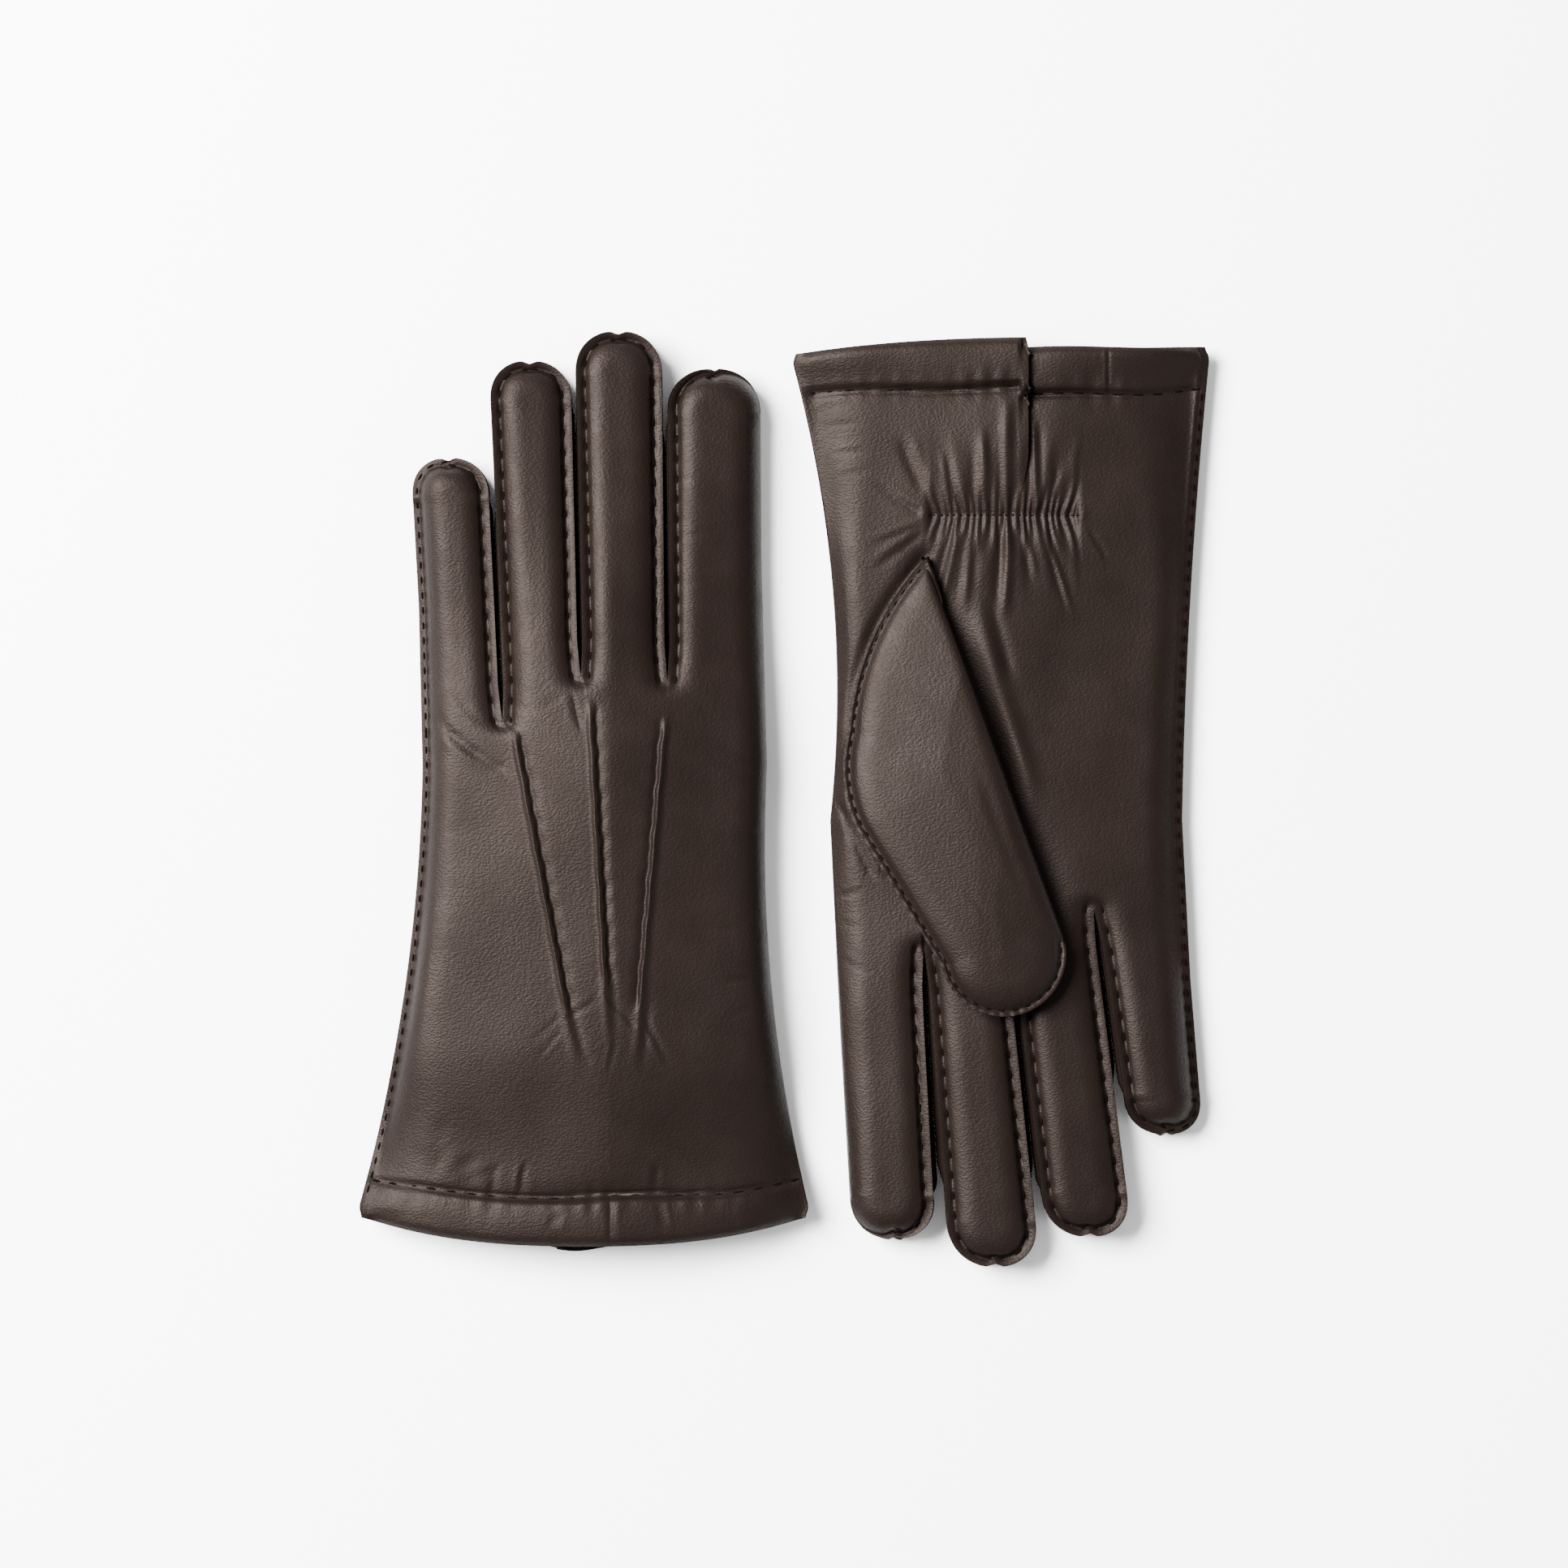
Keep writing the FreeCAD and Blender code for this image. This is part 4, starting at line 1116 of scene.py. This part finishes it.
# How far the lining is inside the leather, from its faces and from the sides of hand and fingers
liningShape = {"inside": 2.1, "handInset": 4.0, "fingerInset": 2.8, "start": 11.0, "end": 146.0, "thick": 0.7}


def knitPiece(glove, part, u, v, back, palm, closed):
    inside = liningShape["inside"]
    points, faces = tube(u, v, back - inside, palm + inside, closed)
    linings[glove.name, part] = shellPiece(glove.name + "_" + part + "_knit", glove, points,
                                           meshNormals(points, faces), faces, liningShape["thick"], lining)


for glove in gloves:
    rows = np.linspace(liningShape["start"], liningShape["end"], 68)[:, None]
    shares = np.sin(np.linspace(-math.pi / 2, math.pi / 2, 49))
    v = np.repeat(rows, len(shares), axis=1)
    for step in range(3):
        left, right = glove.sides(v)
        left, right = left + liningShape["handInset"], right - liningShape["handInset"]
        u = left + (right - left) * (shares + 1) / 2
        v = rows + glove.cuffV(u, "back") * fade(10, 40, rows)
    knitPiece(glove, "hand", u, v, handSurface(glove, "back", u, v), handSurface(glove, "palm", u, v), False)
    for i, finger in enumerate(glove.fingers):
        start = glove.crotchPoint(min(i, 2))[1] - 8
        straight = np.linspace(start, finger["tipV"] - 1, 34)
        turn = np.linspace(0, math.pi / 2, 9)[1:-1]
        rows = np.append(straight, finger["tipV"] - 1 + (finger["radius"] - 2.4) * np.sin(turn))[:, None]
        narrow = np.append(np.ones(len(straight)), np.cos(turn))[:, None]
        shares = np.sin(np.linspace(-math.pi / 2, math.pi / 2, 15))
        body = np.minimum(rows, finger["tipV"])
        left, right = glove.laneEdge(i, -1, body, backLines), glove.laneEdge(i, 1, body, backLines)
        half = (right - left) / 2 - liningShape["fingerInset"]
        middle = (right + left) / 2
        u = middle - finger["slope"] * (rows - body) + half * narrow * shares
        v = np.repeat(rows, len(shares), axis=1)
        knitPiece(glove, finger["name"], u, v, surfaceW(glove, "back", i, u, v),
                  surfaceW(glove, "palm", i, u, v), True)

print("stitches")


def stitchTree():
    # A bead of thread at every step along a path
    tree = bpy.data.node_groups.new("runningStitch", "GeometryNodeTree")
    tree.interface.new_socket("Geometry", in_out="INPUT", socket_type="NodeSocketGeometry")
    for name in ("Pitch", "Length", "Radius"):
        tree.interface.new_socket(name, in_out="INPUT", socket_type="NodeSocketFloat")
    tree.interface.new_socket("Material", in_out="INPUT", socket_type="NodeSocketMaterial")
    tree.interface.new_socket("Geometry", in_out="OUTPUT", socket_type="NodeSocketGeometry")
    given = addNode(tree, "NodeGroupInput").outputs
    walk = addNode(tree, "GeometryNodeResampleCurve",
                   {"Curve": given["Geometry"], "Length": given["Pitch"]}, mode="LENGTH")
    tangent = addNode(tree, "GeometryNodeInputTangent").outputs[0]
    turn = addNode(tree, "FunctionNodeAlignRotationToVector", {"Vector": tangent}, axis="Z")
    bead = addNode(tree, "GeometryNodeMeshUVSphere", {"Segments": 10, "Rings": 7, "Radius": 1.0})
    size = addNode(tree, "ShaderNodeCombineXYZ", {
        "X": given["Radius"], "Y": given["Radius"], "Z": mathNode(tree, "MULTIPLY", given["Length"], 0.5)})
    place = addNode(tree, "GeometryNodeInstanceOnPoints", {
        "Points": walk.outputs[0], "Instance": bead.outputs["Mesh"], "Rotation": turn.outputs[0],
        "Scale": size.outputs[0]})
    real = addNode(tree, "GeometryNodeRealizeInstances", {0: place.outputs[0]})
    paint = addNode(tree, "GeometryNodeSetMaterial",
                    {"Geometry": real.outputs[0], "Material": given["Material"]})
    addNode(tree, "NodeGroupOutput", {"Geometry": paint.outputs[0]})
    return tree


stitchNodes = stitchTree()


def stitched(name, glove, paths, look):
    # One piece with all the beads of thread along paths in the glove's millimetres
    curve = bpy.data.curves.new(name + "_path", "CURVE")
    curve.dimensions = "3D"
    for path in paths:
        spline = curve.splines.new("POLY")
        spline.points.add(len(path) - 1)
        spline.points.foreach_set("co", np.column_stack((glove.world(path), np.ones(len(path)))).ravel())
    holder = addObject(name + "_path", curve)
    modifier = holder.modifiers.new("stitches", "NODES")
    modifier.node_group = stitchNodes
    values = {"Pitch": look["pitch"] * mm, "Length": look["length"] * mm, "Radius": look["radius"] * mm,
              "Material": thread}
    for item in stitchNodes.interface.items_tree:
        if item.in_out == "INPUT" and item.name in values:
            modifier[item.identifier] = values[item.name]
    graph = bpy.context.evaluated_depsgraph_get()
    mesh = bpy.data.meshes.new_from_object(holder.evaluated_get(graph))
    mesh.name = name
    mesh.polygons.foreach_set("use_smooth", [True] * len(mesh.polygons))
    bpy.data.objects.remove(holder)
    return addObject(name, mesh)


def onSheet(glove, sheet, i, u, v, rise):
    w = surfaceW(glove, sheet, i, u, v)
    return np.column_stack((u, v, w + rise if sheet == "back" else w - rise))


def joinPieces(name, pieces):
    # The first piece takes in the others and gets the name
    bpy.ops.object.select_all(action="DESELECT")
    for piece in pieces:
        piece.select_set(True)
    bpy.context.view_layer.objects.active = pieces[0]
    bpy.ops.object.join()
    pieces[0].name = name
    return pieces[0]


stitches = {}
# The hem's stitches run between the sides as they are at this height
hemV = 18.0
# How far the middle of the thread lies above the leather
threadRise = {"finger": 0.12, "side": 0.05, "hem": 0.1, "shirr": 0.05, "thumb": 0.05}
for glove in gloves:
    for i, finger in enumerate(glove.fingers):
        made = []
        for hand in (-1, 1):
            kind = edgeKind(i, hand)
            if kind == "fold":
                continue
            look = stitchShape["finger" if kind == "four" else "side"]
            u, v, inU, inV = fingerEdge(glove, i, hand)
            if kind == "seam":
                u, v, inU, inV = (part[v > handShape["splitV"]] for part in (u, v, inU, inV))
            u, v = u + look["inset"] * inU, v + look["inset"] * inV
            paths = [onSheet(glove, sheet, i, u, v, threadRise["finger"]) for sheet in ("back", "palm")]
            label = glove.name + "_" + finger["name"] + ("_low" if hand < 0 else "_high") + "_stitches"
            made.append(stitched(label, glove, paths, look))
        label = glove.name + "_" + finger["name"] + "_stitches"
        stitches[glove.name, finger["name"]] = joinPieces(label, made)
    # the side seam below the little finger
    look = stitchShape["side"]
    u, v, inU, inV = (part[:int(handShape["splitV"] - sideStart)] for part in fingerEdge(glove, 0, -1))
    v = v[v <= handShape["splitV"]]
    u = u[:len(v)] + look["inset"] * inU[:len(v)]
    made = [stitched("side", glove, [onSheet(glove, sheet, 0, u, v, threadRise["side"])
                                     for sheet in ("back", "palm")], look)]
    paths = []
    left, right = glove.sides(hemV)
    for sheet in ("back", "palm"):
        u = np.linspace(float(left) + 2.5, float(right) - 2.0, 240)
        v = glove.cuffV(u, sheet) + hemDepth(u)
        rise = threadRise["hem"] * (1 if sheet == "back" else -1)
        paths.append(np.column_stack((u, v, handSurface(glove, sheet, u, v) + rise)))
    made.append(stitched("hem", glove, paths, stitchShape["hem"]))
    u = np.linspace(*palmShape["shirr"], 120)
    v = np.full(120, palmShape["shirrV"])
    path = np.column_stack((u, v, handSurface(glove, "palm", u, v) - threadRise["shirr"]))
    made.append(stitched("shirr", glove, [path], stitchShape["shirr"]))
    stitches[glove.name, "hand"] = joinPieces(glove.name + "_hand_stitches", made)
    look = stitchShape["thumb"]
    path = thumbSeam[3:-2]
    forward = np.gradient(path, axis=0)
    forward /= np.linalg.norm(forward, axis=1, keepdims=True)
    u, v = path[:, 0] - look["inset"] * forward[:, 1], path[:, 1] + look["inset"] * forward[:, 0]
    path = np.column_stack((u, v, thumbSurface(glove, "outer", u, v) - threadRise["thumb"]))
    stitches[glove.name, "thumb"] = stitched(glove.name + "_thumb_stitches", glove, [path], look)

print("camera and light")
# The view is "width" metres across at the level of the gloves' middle
viewShape = {
    "width": 0.425, "centre": (0.0003, 0.0041), "height": 2.6, "level": 0.012, "sensor": 36, "floor": 3.0,
}
cameraData = bpy.data.cameras.new("camera")
camera = addObject("camera", cameraData)
bpy.context.scene.camera = camera
cameraData.sensor_width = viewShape["sensor"]
cameraData.lens = viewShape["sensor"] * (viewShape["height"] - viewShape["level"]) / viewShape["width"]
camera.location = (*viewShape["centre"], viewShape["height"])
cameraData.clip_end = 20

floorMesh = bpy.data.meshes.new("floor")
half = viewShape["floor"] / 2
corners = [(-half, -half, 0), (half, -half, 0), (half, half, 0), (-half, half, 0)]
floorMesh.from_pydata(corners, [], [(0, 1, 2, 3)])
floor = addObject("floor", floorMesh)
floorMesh.materials.append(plainMaterial("paleFloor", (0.96, 0.96, 0.96), 0.9))

world = bpy.data.worlds.new("studio")
bpy.context.scene.world = world
world.use_nodes = True
world.node_tree.nodes["Background"].inputs["Color"].default_value = (1, 1, 1, 1)
world.node_tree.nodes["Background"].inputs["Strength"].default_value = 0.72


def softBox(name, place, size, power):
    # A rectangle of light, turned to the middle of the table
    data = bpy.data.lights.new(name, "AREA")
    data.shape = "RECTANGLE"
    data.size, data.size_y = size
    data.energy = power
    light = addObject(name, data)
    light.location = place
    light.rotation_euler = (-Vector(place)).to_track_quat("-Z", "Y").to_euler()


softBox("key", place=(-1.05, 0.5, 1.3), size=(1.1, 1.1), power=375)
softBox("rim", place=(1.4, -0.7, 0.9), size=(0.8, 0.8), power=12)

# How far along a finger on either side of its knuckle, and inward across the thumb's root, the start and end
# points are set
bendShape = {"finger": 9.0, "thumb": 14}
for glove in gloves:
    hand = glove.name + "_hand"
    for pieces, slot in ((trank, "dark_nappa"), (linings, "knit_lining"), (stitches, "thread")):
        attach(pieces[glove.name, "hand"], hand)
    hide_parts(*[glove.name + "_" + n for n in (
        "back_leather", "palm_leather", "side_edges", "back_points", "base_fourchettes", "cuff_hem",
        "vent_facing")])
    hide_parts(glove.name + "_hand_lining", glove.name + "_wrist_elastic")
    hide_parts(glove.name + "_hem_stitches")
    for i, finger in enumerate(glove.fingers):
        name = finger["name"]
        v = finger["knuckleV"]
        level = float(glove.palmLevel(v))
        start, end = (glove.vector(float(glove.centreU(i, v + reach)), v + reach, level)
                      for reach in (-bendShape["finger"], bendShape["finger"]))
        for pieces, slot in ((trank, "dark_nappa"), (strips, "fourchette_nappa"), (linings, "knit_lining"),
                             (stitches, "thread")):
            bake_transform(pieces[glove.name, name])
        node = glove.name + "_" + name
        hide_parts(node + "_back_strip", node + "_palm_strip")
        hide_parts(node + "_fourchettes")
        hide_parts(node + "_lining")
    (a, b), (c, e) = thumbShape["apex"], thumbShape["shoulder"]
    level = glove.lift - handShape["thumbGap"]
    middle = np.array(((a + c) / 2, (b + e) / 2 + handShape["rootV"]))
    inward = np.array((-(e - b), c - a)) / math.hypot(c - a, e - b)
    start = glove.vector(*middle, level)
    end = glove.vector(*(middle + bendShape["thumb"] * inward), level)
    for piece, slot in ((thumbs[glove.name], "dark_nappa"), (stitches[glove.name, "thumb"], "thread")):
        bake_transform(piece)
    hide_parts(*[glove.name + "_thumb_" + n for n in (
        "outer_panel", "inner_panel", "side_wall", "lining")])
